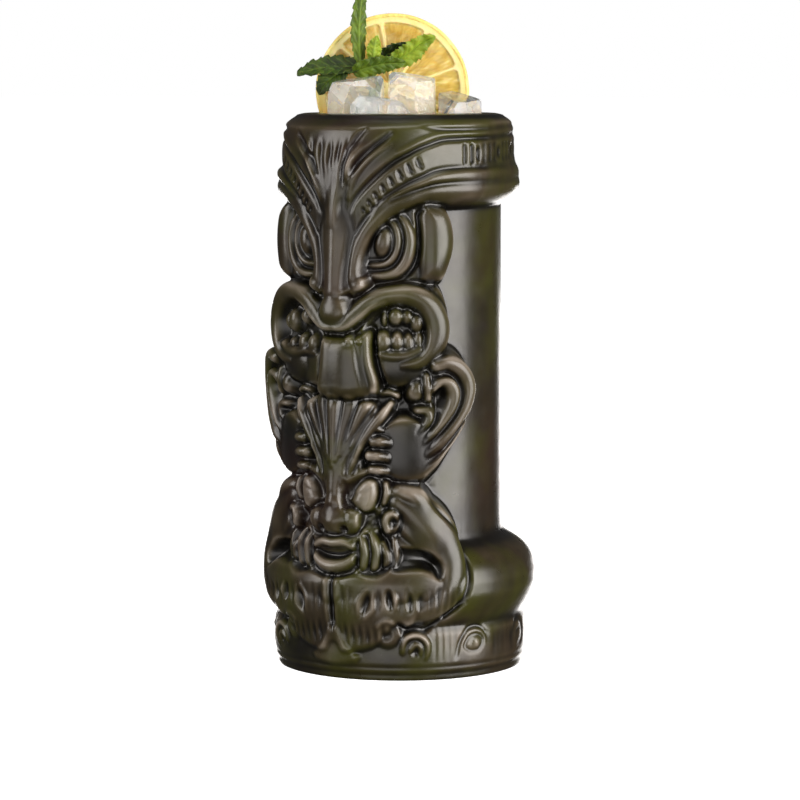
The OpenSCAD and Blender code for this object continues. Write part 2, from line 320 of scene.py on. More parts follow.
def carve_headband(r, band, brow, left):
    plain = curve([(0, 36.6), (150, 36.8), (166, 36.4), (170, 35.9), (176, 35.4)])

    def top(P, Z):
        front = 1 - ease(P, 8, 66)
        side = plain(Z) + 0.9 * (1 - ease(P, 62, 95))
        return side * (1 - front) + brow(Z) * front

    outline = LINE_EDGE + [(-6, 182), (190, 182)]
    r.patch(outline, top, 3.0, 3.6, soft=0.3, smooth=False)
    # behind the ears the band is turned, so its own profile takes over
    side = ease(r.P, 40, 62)
    turned = band(r.Z) + 0.9 * (1 - ease(r.P, 62, 95)) * ease(r.Z, 147, 150)
    r.R[:] = np.where(r.Z > 145.4, r.R * (1 - side) + np.maximum(turned, 31.8) * side, r.R)

    # the two rolls under the frieze, from the ear to the nose
    r.tube([(100, 152.0, 3.2, 37.4), (84, 152.2, 3.6, 38.2), (66, 152.3, 3.8, 39.0), (50, 152.2, 3.7, 39.1),
            (40, 151.7, 3.3, 39.2), (34, 150.8, 3.4, 39.5), (28, 148.7, 3.4, 39.9),
            (22.5, 145.9, 3.3, 40.3), (17.2, 142.2, 3.1, 40.6), (13.2, 138.2, 2.9, 40.8),
            (10.4, 133.6, 2.8, 40.9), (8.7, 129.2, 3.0, 41.2), (8.6, 125.6, 3.1, 41.5),
            (9.6, 122.8, 2.9, 41.5)], 3.4)
    r.tube([(100, 155.8, 2.2, 37.6), (84, 156.0, 2.5, 38.2), (66, 156.2, 2.7, 39.0), (54, 156.1, 2.5, 39.2),
            (46, 155.6, 2.3, 39.5), (41, 154.6, 1.9, 39.6),
            (35, 153.2, 1.3, 39.8), (29, 151.2, 0.9, 40.0)], 2.0)
    # line between the rolls, and the line over them
    r.groove([(84, 154.2, 0.9, 0.1), (60, 154.2, 1.0, 0.25), (48, 154.0, 1.1, 0.5), (41, 152.9, 1.0, 0.6),
              (33, 151.0, 0.9, 0.5), (26, 149.2, 0.9, 0.4)])
    r.groove([(75, 158.4, 1.1, 0.4), (56, 158.6, 1.1, 0.6), (47, 158.1, 1.1, 0.8), (41, 156.6, 1.1, 0.9),
              (35, 154.9, 1.1, 1.0), (29.5, 152.9, 1.1, 1.0), (25, 151.0, 1.0, 1.0),
              (20.6, 148.6, 1.0, 1.0), (17.2, 146.0, 0.9, 0.9), (13.5, 142.4, 0.9, 0.7),
              (10.4, 138.5, 0.8, 0.4)])
    # grooves of the upper roll
    r.groove([(78, 167.7, 1.0, 0.5), (62, 167.9, 1.0, 0.9), (52, 167.7, 1.1, 1.1), (45.5, 166.6, 1.1, 1.2),
              (39.5, 165.3, 1.1, 1.3), (33.5, 163.3, 1.2, 1.4), (27.2, 160.9, 1.2, 1.5),
              (21.8, 158.0, 1.2, 1.5), (17, 154.9, 1.2, 1.4), (12.8, 151.8, 1.1, 1.2),
              (9.8, 149.0, 1.0, 0.8), (7.6, 145.5, 0.8, 0.2)])
    r.groove([(78, 170.5, 0.9, 0.3), (62, 170.7, 0.9, 0.7), (52, 170.9, 0.9, 0.8), (44, 171.6, 0.9, 0.6),
              (38, 172.6, 0.8, 0.1)])
    r.ridge([(60, 169.2, 1.2, 0.2), (48, 168.7, 1.2, 0.5), (40, 167.2, 1.3, 0.5), (30, 163.8, 1.3, 0.3)])
    r.groove([(27, 170.4, 1.0, 0.2), (24, 168.9, 1.4, 0.9), (19.2, 166.0, 1.6, 1.4),
              (14.4, 162.9, 1.6, 1.6), (10.8, 159.9, 1.5, 1.4), (9.2, 157.4, 1.1, 0.5)])
    r.ridge([(25, 166.8, 1.3, 0.2), (18.8, 164.2, 1.5, 0.8), (13.6, 160.6, 1.5, 1.0),
             (10.3, 157.1, 1.4, 0.9), (8.0, 153.0, 1.2, 0.7), (7.0, 149.7, 0.9, 0.3)])
    if not left:
        r.ridge([(13.5, 166.6, 1.0, 0.2), (11.4, 165.0, 1.2, 0.8), (9.2, 162.6, 1.3, 1.1),
                 (7.4, 160.0, 1.3, 1.1), (6.9, 157.2, 1.1, 0.9), (7.3, 154.4, 0.9, 0.3)])
        r.groove([(15.5, 172, 0.9, 0.1), (12.8, 170.4, 1.2, 0.8), (8.8, 166.9, 1.3, 1.1),
                  (6.2, 163.0, 1.2, 1.2), (4.8, 159.0, 1.1, 1.1), (4.2, 155.0, 1.0, 0.8),
                  (3.6, 151.0, 0.8, 0.1)])
    # nose: a long wedge with a soft crest, broad between the brows, that ends in a point
    r.tent([(0, 157, 7.4, 40.6), (0, 149, 7.0, 41.8), (0, 141, 6.4, 42.6), (0, 132, 5.4, 43.1),
            (0, 122, 4.8, 43.6), (0, 116.6, 4.2, 43.8)], 0.46, 0.9)
    # feathers of the forehead: a fan that meets over the nose, wider on one side
    for k, tilt in enumerate([0, 4.2, 8.2] if not left else [0, 4.8, 10.4, 16.6]):
        tall = [165.0, 166.6, 168.0, 169.0][k]
        r.ridge([(tilt, tall, 0.9, 0.1), (tilt * 0.88, tall - 4.4, 1.9, 0.8),
                 (tilt * 0.62, 156.4, 1.9, 0.95), (tilt * 0.4, 150.8, 1.6, 0.8),
                 (tilt * 0.24, 145.6, 1.2, 0.4), (tilt * 0.14, 141, 0.8, 0.1)])
    for tilt in [2.1, 6.2] if not left else [2.4, 7.6, 13.4]:
        r.groove([(tilt * 1.02, 168.0, 0.5, 0.1), (tilt * 0.92, 164.0, 0.9, 0.45),
                  (tilt * 0.68, 157.4, 0.9, 0.5), (tilt * 0.45, 151.6, 0.7, 0.3),
                  (tilt * 0.28, 147, 0.5, 0.1)])
    # bead row between the lower roll and the upper groove
    for a, z, size in [(14.6, 145.9, 0.95), (17.2, 148.3, 1.15), (20.0, 150.6, 1.3), (23.3, 152.9, 1.45),
                       (27.0, 155.0, 1.6), (31.0, 157.0, 1.75), (35.2, 158.9, 1.85), (39.6, 160.5, 1.9)]:
        r.pit(a - 0.9, z, size * 0.55, size * 1.15, 0.9, 30, 0.8)
        r.dome(a + 0.9, z + 0.4, size * 0.55, size * 1.0, r.at(a + 0.9, z + 0.4) + 0.25, 0.5, 30, 0.15)
    # plain upright bars and oval hollows of the frieze, left out where it narrows
    for k in range(27):
        a = 62.5 + k * 4.3
        deep = 1.5 * ease(a, 52, 68)
        if k % 4 == 2:
            r.pit(a, 162.9, 1.25, 2.6, deep, 0, 0.7)
        else:
            r.groove([(a, 165.6, 0.7, deep), (a, 160.4, 0.7, deep)])
    # hollow beside the nose, its nostril and wing
    r.groove([(7.4, 141, 0.9, 0.1), (6.6, 133, 1.6, 0.45), (5.6, 126, 1.7, 0.7), (5.2, 121.5, 1.4, 0.7)])
    r.pit(6.4, 118.8, 1.8, 1.6, 1.8, 20, 0.8)
    r.dome(10.8, 122.6, 2.8, 2.4, 41.8, 1.8, 40, 0.6)


def carve_eyes(r):
    # hollow that the eye lies in, filled out from the column
    r.patch([(8, 121.6), (14, 121), (30, 122.6), (40, 122.9), (42, 126), (42, 146), (38, 149), (20, 143),
             (10, 136)], lambda P, Z: 36.2 + 0.6 * ease(P, 30, 12), 1.6, 2.5, soft=0.3)
    # the roll at the temple
    r.patch([(39.0, 123.4), (44, 122.7), (51.4, 123.6), (55.0, 128.2), (57.4, 133.8), (57.4, 139.4),
             (55.4, 144.2), (52.0, 147.0), (46, 148.6), (39.4, 148.6), (38.6, 142), (38.6, 130)],
            lambda P, Z: 39.7 - 0.005 * (Z - 134) ** 2, 6.4, 5.0, soft=0.4)
    r.groove([(44, 147.2, 0.8, 0.1), (38.6, 144.8, 1.0, 1.0), (39.1, 140.4, 1.1, 1.6),
              (39.3, 136, 1.1, 1.6), (38.6, 131.4, 1.1, 1.5), (35.8, 127.3, 1.0, 1.3),
              (30.6, 124.5, 1.0, 1.1), (22, 123.4, 1.0, 0.9), (14, 123.2, 1.0, 0.6)])
    # rings round the pupil
    r.ridge([(36.0, 145.4, 0.6, 0.3), (37.2, 141.2, 0.75, 0.8), (37.6, 136.5, 0.75, 0.8),
             (36.8, 132.0, 0.7, 0.7), (34.2, 128.2, 0.6, 0.3)])
    r.tube([(30.2, 144.0, 1.1, 37.6), (32.6, 141.4, 1.7, 38.4), (34.2, 138.2, 2.0, 38.9),
            (34.4, 134.8, 2.0, 39.0), (32.6, 130.4, 2.0, 38.9), (28.8, 127.2, 1.8, 38.6),
            (23.4, 125.7, 1.6, 38.2), (18.4, 125.5, 1.3, 37.8), (12, 125.6, 0.9, 37.2)], 1.5, 0.25)
    r.tube([(24.6, 142.8, 1.1, 37.4), (27.2, 141.0, 1.5, 38.0), (28.6, 137.6, 1.8, 38.5),
            (28.4, 134.2, 1.8, 38.5), (26.4, 131.0, 1.7, 38.3), (23.2, 129.2, 1.4, 37.9),
            (19.0, 128.6, 1.2, 37.6), (12, 128.6, 0.9, 37.2)], 1.5, 0.25)
    r.groove([(30.8, 142.4, 0.7, 0.4), (31.9, 136.4, 0.9, 1.0), (30.0, 131.2, 0.9, 1.0),
              (25.8, 128.0, 0.8, 0.9), (19.2, 127.2, 0.8, 0.8), (12, 127.1, 0.7, 0.3)])
    r.groove([(25.4, 141.4, 0.7, 0.3), (27.0, 138.4, 0.8, 0.9), (26.8, 134.6, 0.8, 1.0),
              (24.8, 131.8, 0.8, 0.9), (20.6, 130.4, 0.8, 0.8), (14, 130.2, 0.7, 0.3)])
    r.dome(22.0, 136.0, 2.9, 4.7, 38.9, 2.3, -10)


def carve_mouth(r, left):
    outline = [(-8, 122.4), (0, 120.4), (8, 119.6), (13.6, 120.6), (19, 122.2), (26, 123.2), (32.7, 123.5),
               (42, 123.2), (49.3, 122.2), (53.4, 117.8), (55.4, 112.6), (54.9, 108), (52.8, 104),
               (49.4, 101.4), (46.6, 99.6), (43.2, 97.0), (38.9, 94.1), (34.7, 91.6), (30, 90.0),
               (20, 89.6), (8, 89.2), (-8, 89.2)]

    def top(P, Z):
        ring = np.hypot((P - 31) * ARC, Z - 108)
        return 38.2 + 2.2 * (1 - ease(P, 2, 22)) + 0.5 * ease(ring, 16, 8)

    r.patch(outline, top, 5.0, 4.6, soft=0.3)
    # jaw under the mouth
    r.dome(30, 97.5, 11.0, 7.0, 39.4, 3.0)
    # lip ring round the mouth's corner and the upper lip
    r.tube([(-6, 112.6, 3.6, 42.4), (0, 110.4, 3.6, 43.0), (5, 110.6, 3.4, 42.8), (10, 113.2, 3.4, 42.2),
            (15, 116.6, 3.2, 41.7), (21, 118.8, 3.1, 41.4), (28, 119.7, 3.2, 41.2), (35, 119.4, 3.6, 41.2),
            (41.5, 117.2, 4.0, 41.5), (45.6, 113.4, 4.3, 41.9), (47.2, 109.2, 4.4, 42.1),
            (46.2, 104.9, 4.3, 42.0), (42.8, 101.2, 3.8, 41.6), (37.5, 98.6, 3.0, 40.8),
            (31, 97.6, 2.4, 40.0)], 4.2)
    # the hollow of the mouth with its own floor
    hollow = [(21.2, 114.9), (27, 115.9), (33, 115.8), (37.6, 114.4), (40.8, 111.2), (41.9, 107.4),
              (41.0, 103.6), (38.6, 101.0), (33, 99.9), (26, 99.7)]
    if left:
        hollow += [(18, 99.4), (11, 100.4), (8.6, 104), (8.8, 107.6), (11.6, 109.9), (16, 112.4)]
    else:
        hollow += [(20.6, 100.2), (17.6, 103), (15.6, 106.6), (13.6, 109.2), (17.2, 113.0)]
    w, d = r.inside(hollow, 3.0)
    t = np.clip((d + 0.6) / 2.0, 0, 1)
    r.R[w] = r.R[w] * (1 - t) + np.minimum(r.R[w], 36.2) * t
    # teeth
    if left:
        upper = [(20.0, 112.0, 2.3, 2.6, 39.6), (29.6, 110.4, 2.8, 3.8, 40.0),
                 (36.8, 109.8, 2.1, 3.0, 39.0)]
        lower = [(14.4, 103.4, 2.6, 3.2, 39.9), (22.0, 103.4, 2.6, 3.4, 39.6),
                 (31.6, 102.8, 2.4, 2.6, 39.2)]
    else:
        upper = [(22.6, 112.4, 1.1, 2.8, 38.6), (28.0, 112.9, 2.4, 2.7, 39.6),
                 (33.4, 112.8, 2.1, 2.5, 39.1), (38.0, 110.8, 2.2, 3.0, 39.7)]
        lower = [(22.2, 104.7, 2.8, 3.6, 40.0), (28.6, 104.7, 2.3, 3.4, 39.7),
                 (34.0, 104.4, 2.1, 3.3, 39.5), (38.6, 105.2, 1.8, 3.2, 39.7)]
    for row, rise in ((upper, 2.2), (lower, 2.4)):
        for a, z, wide, tall, crest in row:
            r.dome(a, z, wide, tall, crest, rise, 0, 0.3)
    gum = [(13, 100.8, 1.4, 39.6)] if left else []
    r.tube(gum + [(19.8, 101.0, 1.5, 39.4), (26, 100.4, 1.9, 39.9), (33, 100.6, 1.9, 40.1),
                  (39, 102.4, 1.5, 40.3)], 1.8, 0.4)
    # edge of the upper lip
    r.groove([(-6, 108.6, 1.2, 1.6), (0, 106.9, 1.4, 2.4), (5.2, 106.9, 1.4, 2.4), (9.6, 109.0, 1.3, 2.0),
              (13.4, 111.4, 1.1, 1.4), (17.6, 114.4, 0.9, 0.6)])
    r.ridge([(0, 108.7, 1.0, 0.4), (6.5, 109.0, 1.0, 0.7), (12.0, 112.3, 1.0, 0.8), (17.4, 115.6, 1.0, 0.7),
             (23, 117.0, 1.0, 0.4)])
    # end of the nose over the lip
    r.dome(0, 114.4, 4.6, 5.4, 43.9, 2.2, 0, 1.2)
    r.groove([(5.6, 116.4, 1.0, 0.3), (8.8, 118.4, 1.2, 1.0), (13.6, 120.8, 1.2, 1.3),
              (19, 122.6, 1.2, 1.2), (32, 123.5, 1.1, 1.0), (41, 123.1, 1.1, 1.0)], 0.8)
    # tongue: a broad hanging fold, fullest low down, twisted to one side
    if left:
        outline = [(-8, 106.6), (0, 106.4), (5.4, 106.4), (7.0, 103.6), (7.2, 99), (8.0, 94.6), (9.0, 91.0),
                   (8.6, 88.4), (5.2, 87.0), (0, 86.2), (-8, 86.4)]
    else:
        outline = [(-8, 106.6), (0, 106.4), (8, 106.6), (13.6, 106.2), (16.2, 103.6), (16.6, 99),
                   (18.2, 95), (20.4, 91.6), (19.6, 88.9), (16, 87.4), (10, 86.6), (0, 86.2), (-8, 86.4)]

    def fold(P, Z):
        return (42.4 + 0.8 * np.exp(-((P - 3) / 6.5) ** 2) - 0.018 * np.clip(P - 6, 0, None) ** 2
                + 0.5 * np.sin(np.clip((Z - 86) / 20, 0, 1) * math.pi))

    r.patch(outline, fold, 3.4 if left else 4.2, 4.0, soft=0.9)
    if left:
        # cut along the fold's far side
        r.groove([(8.6, 106.2, 0.9, 0.8), (8.6, 101, 1.1, 1.5), (9.2, 95.6, 1.2, 1.6),
                  (10.4, 90.4, 1.2, 1.3)])
    else:
        r.tube([(14.4, 106.2, 1.7, 41.2), (14.4, 102, 1.8, 41.4), (15.2, 97.6, 1.9, 41.5),
                (17.0, 93.4, 2.0, 41.4), (17.2, 90.4, 1.8, 41.0)], 1.9, 0.9)
        r.groove([(10.6, 106.0, 0.8, 0.2), (11.4, 102, 1.1, 0.5), (12.2, 97.4, 1.1, 0.5),
                  (13.6, 92.6, 1.1, 0.3), (14.2, 89, 0.8, 0.1)])
        r.dome(7.6, 104.8, 1.5, 1.7, 43.1, 1.2, 0, 0.5)
        r.dome(11.8, 105.0, 1.3, 1.4, 42.3, 1.2, 0, 0.5)
        # dark gap between tongue and mouth
        r.groove([(17.4, 109, 1.0, 1.4), (18.6, 105, 1.2, 2.0), (18.8, 100, 1.2, 2.2),
                  (20.4, 95.6, 1.3, 2.2), (22.4, 91.4, 1.4, 1.8)])


def carve_arms(r):
    outline = [(47.5, 99.6), (51.3, 100.9), (55, 100.7), (58.6, 99.4), (61.6, 97.0), (63.4, 93.8),
               (64.1, 90), (63.4, 85.8), (61.7, 81.6), (59, 76.7), (54.8, 72.0), (50.2, 67.5), (45.7, 63.3),
               (41.3, 60.6), (35.4, 59.8), (24.8, 61.0), (18, 62.0), (13, 66), (13, 80), (20, 84.6),
               (28, 87), (33.5, 89.5), (36, 92.6), (41, 95.4), (44.6, 98)]

    def top(P, Z):
        return 38.6 + 0.9 * ease(P, 30, 55) - 2.4 * ease(Z, 74, 82) * ease(P, 46, 38)

    r.patch(outline, top, 3.4, 4.6, soft=0.3)
    # deep shadow between jaw, tongue and elbow
    r.patch([(16, 82), (22, 91), (34, 91.5), (40, 86), (42, 80), (34, 77), (22, 80)],
            35.8, 1.0, 1.5, soft=0.2)
    w, d = r.inside([(24, 86), (30, 91), (35.6, 91), (37, 86.6), (42.6, 84.6), (42, 80.8), (37, 78),
                     (30.5, 78.6), (24, 83)], 2.0)
    r.R[w] -= 2.4 * np.clip(d / 2.5, 0, 1)
    # strands of the forearm, from the outside in
    r.tube([(46.6, 97.6, 2.3, 42.4), (51.2, 98.3, 2.5, 42.9), (56, 96.8, 2.6, 43.3),
            (59.6, 93.8, 2.6, 43.4), (61.0, 90, 2.6, 43.4), (60.0, 85.6, 2.5, 43.1),
            (57.2, 81.2, 2.4, 42.7), (52.6, 76.7, 2.3, 42.2), (47.6, 72.8, 2.2, 41.4),
            (43.4, 70.0, 2.0, 40.2), (40, 68.0, 1.6, 38.8)], 3.0, 0.4)
    r.tube([(61.0, 83.2, 1.0, 40.6), (58.6, 78.6, 1.2, 41.0), (54.4, 74.2, 1.3, 40.8),
            (49.8, 70.4, 1.5, 40.6), (45.6, 66.8, 1.6, 40.2), (41.4, 63.8, 1.6, 39.4)], 1.8, 0.3)
    r.tube([(45.6, 90.4, 1.7, 41.0), (48.6, 92.4, 2.0, 41.9), (52.2, 91.8, 2.3, 42.6),
            (54.4, 89.0, 2.4, 42.8), (54.0, 85.4, 2.3, 42.6), (51.6, 81.8, 2.1, 42.2),
            (48.2, 78.4, 1.9, 41.6), (44.4, 75.2, 1.8, 40.8), (41.0, 72.8, 1.5, 39.6)], 2.8, 0.3)
    r.tube([(38.6, 83.2, 1.3, 39.4), (42.4, 83.0, 1.7, 40.2), (43.6, 80.9, 1.8, 40.4),
            (41.4, 78.0, 1.7, 40.0), (38.2, 76.2, 1.5, 39.2)], 2.2, 0.3)
    # cuts between the strands
    r.groove([(46.8, 93.6, 0.7, 0.6), (51.0, 94.5, 0.8, 1.4), (55.0, 93.2, 0.8, 1.6),
              (57.4, 89.6, 0.8, 1.6), (57.0, 86.0, 0.8, 1.5), (54.8, 82.4, 0.8, 1.4),
              (50.8, 78.6, 0.8, 1.3), (45.6, 74.6, 0.8, 0.9), (42.0, 71.8, 0.7, 0.2)])
    r.groove([(60.2, 81.4, 0.7, 0.5), (56.6, 77.2, 0.8, 1.3), (52.2, 73.0, 0.8, 1.3),
              (47.2, 69.2, 0.8, 0.9), (43.4, 66.6, 0.7, 0.2)])
    r.groove([(47.2, 83.4, 0.9, 1.2), (45.8, 79.6, 0.9, 1.1), (42.0, 76.6, 0.8, 0.6)])
    # hollow inside the hook of the elbow
    r.pit(47.6, 87.0, 2.2, 3.8, 2.4, -10, 0.8)
    # small curled lobes beside it
    r.dome(38.0, 89.8, 2.9, 3.4, 40.0, 2.6, -10, 0.6)
    r.tube([(42.0, 94.2, 1.2, 40.4), (42.2, 91.0, 1.5, 41.0), (42.8, 87.2, 1.2, 40.4)], 1.8, 0.5)
    r.groove([(39.9, 93.6, 0.6, 0.4), (40.1, 90, 0.7, 0.8), (40.8, 87, 0.6, 0.4)])
    # small wing under the jaw
    r.tube([(21.0, 88.6, 0.9, 37.6), (24.6, 89.0, 1.1, 38.0), (28.4, 88.0, 0.9, 37.6)], 1.4, 0.6)
    # back of the hand
    r.dome(33, 71.0, 10.2, 9.6, 39.9, 1.1, -25, 1.6)
    fingers = [(17.6, 77.4, 23.0, 77.0, 1.2, 40.4), (18.6, 73.5, 24.4, 73.3, 1.95, 41.6),
               (17.0, 69.2, 23.4, 68.7, 1.95, 41.9), (17.6, 64.8, 23.6, 64.4, 1.6, 41.2)]
    for a0, z0, a1, z1, half, crest in fingers:
        r.tube([(a0, z0, half, crest), ((a0 + a1) / 2, (z0 + z1) / 2 + 0.2, half, crest + 0.3),
                (a1, z1, half * 0.95, crest - 0.9)], 2.0, 0.25)
    r.groove([(15.4, 76.2, 0.7, 0.9), (18.2, 75.8, 0.6, 0.8), (24.6, 75.4, 0.6, 0.5)])
    r.groove([(15.2, 71.2, 0.6, 0.8), (19, 71.2, 0.5, 0.9), (24.0, 71.0, 0.5, 0.5)])
    r.groove([(15.2, 66.8, 0.6, 0.8), (19, 66.9, 0.5, 0.9), (23.6, 66.6, 0.5, 0.5)])


def carve_lower_head(r):
    outline = [(-8, 88), (0, 87), (10, 87.4), (16.4, 86.6), (19.8, 84.6), (18.4, 80.6), (14.8, 76.4),
               (13, 70), (13.6, 64), (18, 62.2), (24.4, 61.6), (25.4, 57), (23.0, 52), (20.6, 49),
               (21.2, 45), (22.8, 41), (26.6, 38), (26.4, 34), (20, 31.4), (10, 30.2), (0, 29.4), (-8, 30)]
    front = curve([(28, 40.6), (34, 41.4), (42, 41.4), (50, 40.8), (58, 40.4), (70, 40.6), (80, 40.6),
                   (88, 40.0)])

    def top(P, Z):
        return front(Z) - 0.010 * np.clip(P - 6, 0, None) ** 1.6

    r.patch(outline, top, 3.0, 3.6, soft=0.3)
    # feathers from the bridge of the nose
    r.tent([(0, 84, 7.0, 42.4), (0, 74, 6.0, 42.6), (0, 64, 3.6, 43.0), (0, 58, 3.0, 43.4)], 0.42, 1.0)
    fans = [[(0.6, 86.4), (0.5, 80), (0.2, 73), (0, 66)],
            [(7.4, 86.2), (5.6, 80.0), (3.8, 74.0), (2.0, 67.6)],
            [(14.6, 85.4), (11.6, 81.0), (8.0, 75.6), (4.0, 69.2)],
            [(21.0, 83.0), (17.0, 79.8), (12.0, 75.6), (7.6, 71.2), (3.6, 66.0)]]
    for line in fans:
        r.ridge([(a, z, 2.3 - 0.42 * i, 1.1 - 0.2 * i) for i, (a, z) in enumerate(line)])
    cuts = [[(4.0, 86.6), (3.0, 80), (2.0, 73), (0.9, 66)],
            [(11.0, 86.2), (8.6, 80.8), (5.9, 75), (2.6, 67)],
            [(17.8, 84.6), (14.4, 80.6), (10.0, 75.6), (5.6, 70), (3.2, 65.6)]]
    for line in cuts:
        r.groove([(a, z, 0.7 - 0.08 * i, 0.7 - 0.14 * i) for i, (a, z) in enumerate(line)])
    r.tube([(25.4, 85.4, 0.9, 39.2), (21.4, 81.6, 1.7, 40.8), (17.0, 77.4, 1.8, 41.2),
            (12.8, 73.0, 1.4, 41.2), (9.4, 68.6, 1.0, 40.8)], 2.0, 0.5)
    r.ridge([(12.6, 71.4, 0.9, 0.5), (9.6, 67.2, 0.9, 0.8), (7.0, 63.0, 0.8, 0.5)])
    r.groove([(11.8, 68.4, 0.8, 0.9), (9.4, 64.4, 0.8, 0.9), (8.0, 61.2, 0.7, 0.5)])
    # brow, eye and cheek
    r.tube([(3.2, 64, 1.2, 41.6), (6.4, 61.2, 1.5, 41.2), (10.6, 62.6, 1.6, 40.6), (15.0, 64.0, 1.5, 40.0),
            (20, 63.6, 1.2, 39.4)], 1.8, 0.3)
    r.pit(14.6, 56.4, 7.4, 6.8, 2.4, 14, 0.7)
    r.patch([(7.4, 54.8), (10.4, 59.2), (15.0, 61.8), (19.2, 61.2), (20.4, 57.2), (18.4, 52.8),
             (14.8, 50.8), (10.4, 52.0)], lambda P, Z: 41.5 - 0.02 * (P - 14) ** 2, 2.8, 2.6, soft=0.3)
    r.groove([(9.4, 56.6, 0.45, 0.2), (13.6, 57.6, 0.5, 0.35), (18.6, 59.8, 0.45, 0.2)])
    r.tube([(23.6, 60.2, 1.0, 39.8), (24.0, 57.2, 1.3, 40.4), (22.8, 54.2, 1.0, 39.8)], 1.8, 0.3)
    r.groove([(20.8, 60.6, 0.7, 0.9), (21.2, 57, 0.7, 1.1), (19.4, 53.4, 0.7, 0.8)])
    # nose
    r.tent([(0, 66, 2.4, 42.9), (0, 58, 2.6, 43.6), (0, 52, 3.2, 44.2)], 0.62, 0.6)
    r.groove([(3.6, 62.0, 0.9, 0.3), (4.2, 57.4, 1.3, 1.0), (5.6, 54.2, 1.3, 0.9), (8.8, 52.2, 1.0, 0.5)])
    r.dome(0, 48.8, 5.4, 4.8, 44.0, 2.8, 0, 1.8)
    r.dome(7.2, 48.4, 4.8, 3.9, 43.2, 2.8, 10, 1.8)
    r.pit(5.6, 45.9, 1.5, 1.3, 1.8, -12, 0.8)
    r.groove([(12.6, 51.4, 0.8, 0.8), (13.0, 47.6, 0.9, 1.4), (11.4, 44.4, 0.9, 1.4), (6, 43.4, 0.9, 1.5),
              (0, 43.3, 0.9, 1.4), (-6, 43.4, 0.9, 1.4)])
    r.pit(16.8, 48.6, 3.6, 3.6, 2.6, 0, 0.8)
    # lips
    r.tube([(-10, 40.0, 1.2, 42.4), (-5, 41.6, 1.6, 43.3), (0, 41.4, 1.7, 43.6), (5, 41.6, 1.6, 43.3),
            (9.6, 40.0, 1.2, 42.4)], 2.2, 0.3)
    r.tube([(-11, 37.8, 1.4, 42.2), (-6, 34.9, 1.9, 43.5), (0, 33.8, 2.2, 44.0), (6, 34.9, 1.9, 43.5),
            (11, 37.8, 1.4, 42.2)], 2.6, 0.3)
    r.tube([(9.4, 40.6, 1.2, 42.0), (11.6, 39.2, 1.4, 42.2), (11.2, 37.2, 1.2, 42.0)], 1.6, 0.3)
    r.groove([(-9.2, 38.9, 0.7, 0.8), (-5, 37.5, 0.95, 2.0), (0, 37.0, 1.1, 2.4), (5, 37.5, 0.95, 2.0),
              (9.2, 38.9, 0.7, 0.8)])
    r.groove([(-10, 33.2, 0.9, 1.0), (0, 30.9, 1.1, 1.5), (8, 32.2, 1.0, 1.3), (12.8, 35.6, 0.9, 1.1),
              (13.0, 39.0, 0.8, 0.4)])
    # folds of the cheek, standing in a hollow
    r.pit(18.4, 38.2, 6.2, 7.6, 2.6, 0, 0.5)
    r.groove([(26.8, 41.4, 0.9, 0.6), (27.6, 37.4, 1.2, 1.4), (27.2, 33.4, 0.9, 0.8)])
    for a, b, c, z0, z1, h in [(12.4, 14.6, 13.8, 44.0, 32.4, 42.4), (17.0, 19.6, 18.6, 44.4, 32.2, 42.0),
                               (22.2, 24.4, 24.0, 41.6, 32.6, 41.4)]:
        r.tube([(a, z0, 1.0, h - 1.2), ((a + b) / 2 + 0.4, z0 - 2.6, 1.5, h), (b, (z0 + z1) / 2, 1.65, h),
                (c, z1 + 1.6, 1.5, h - 0.2), (c - 0.6, z1, 1.0, h - 1.2)], 2.6, 0.25)


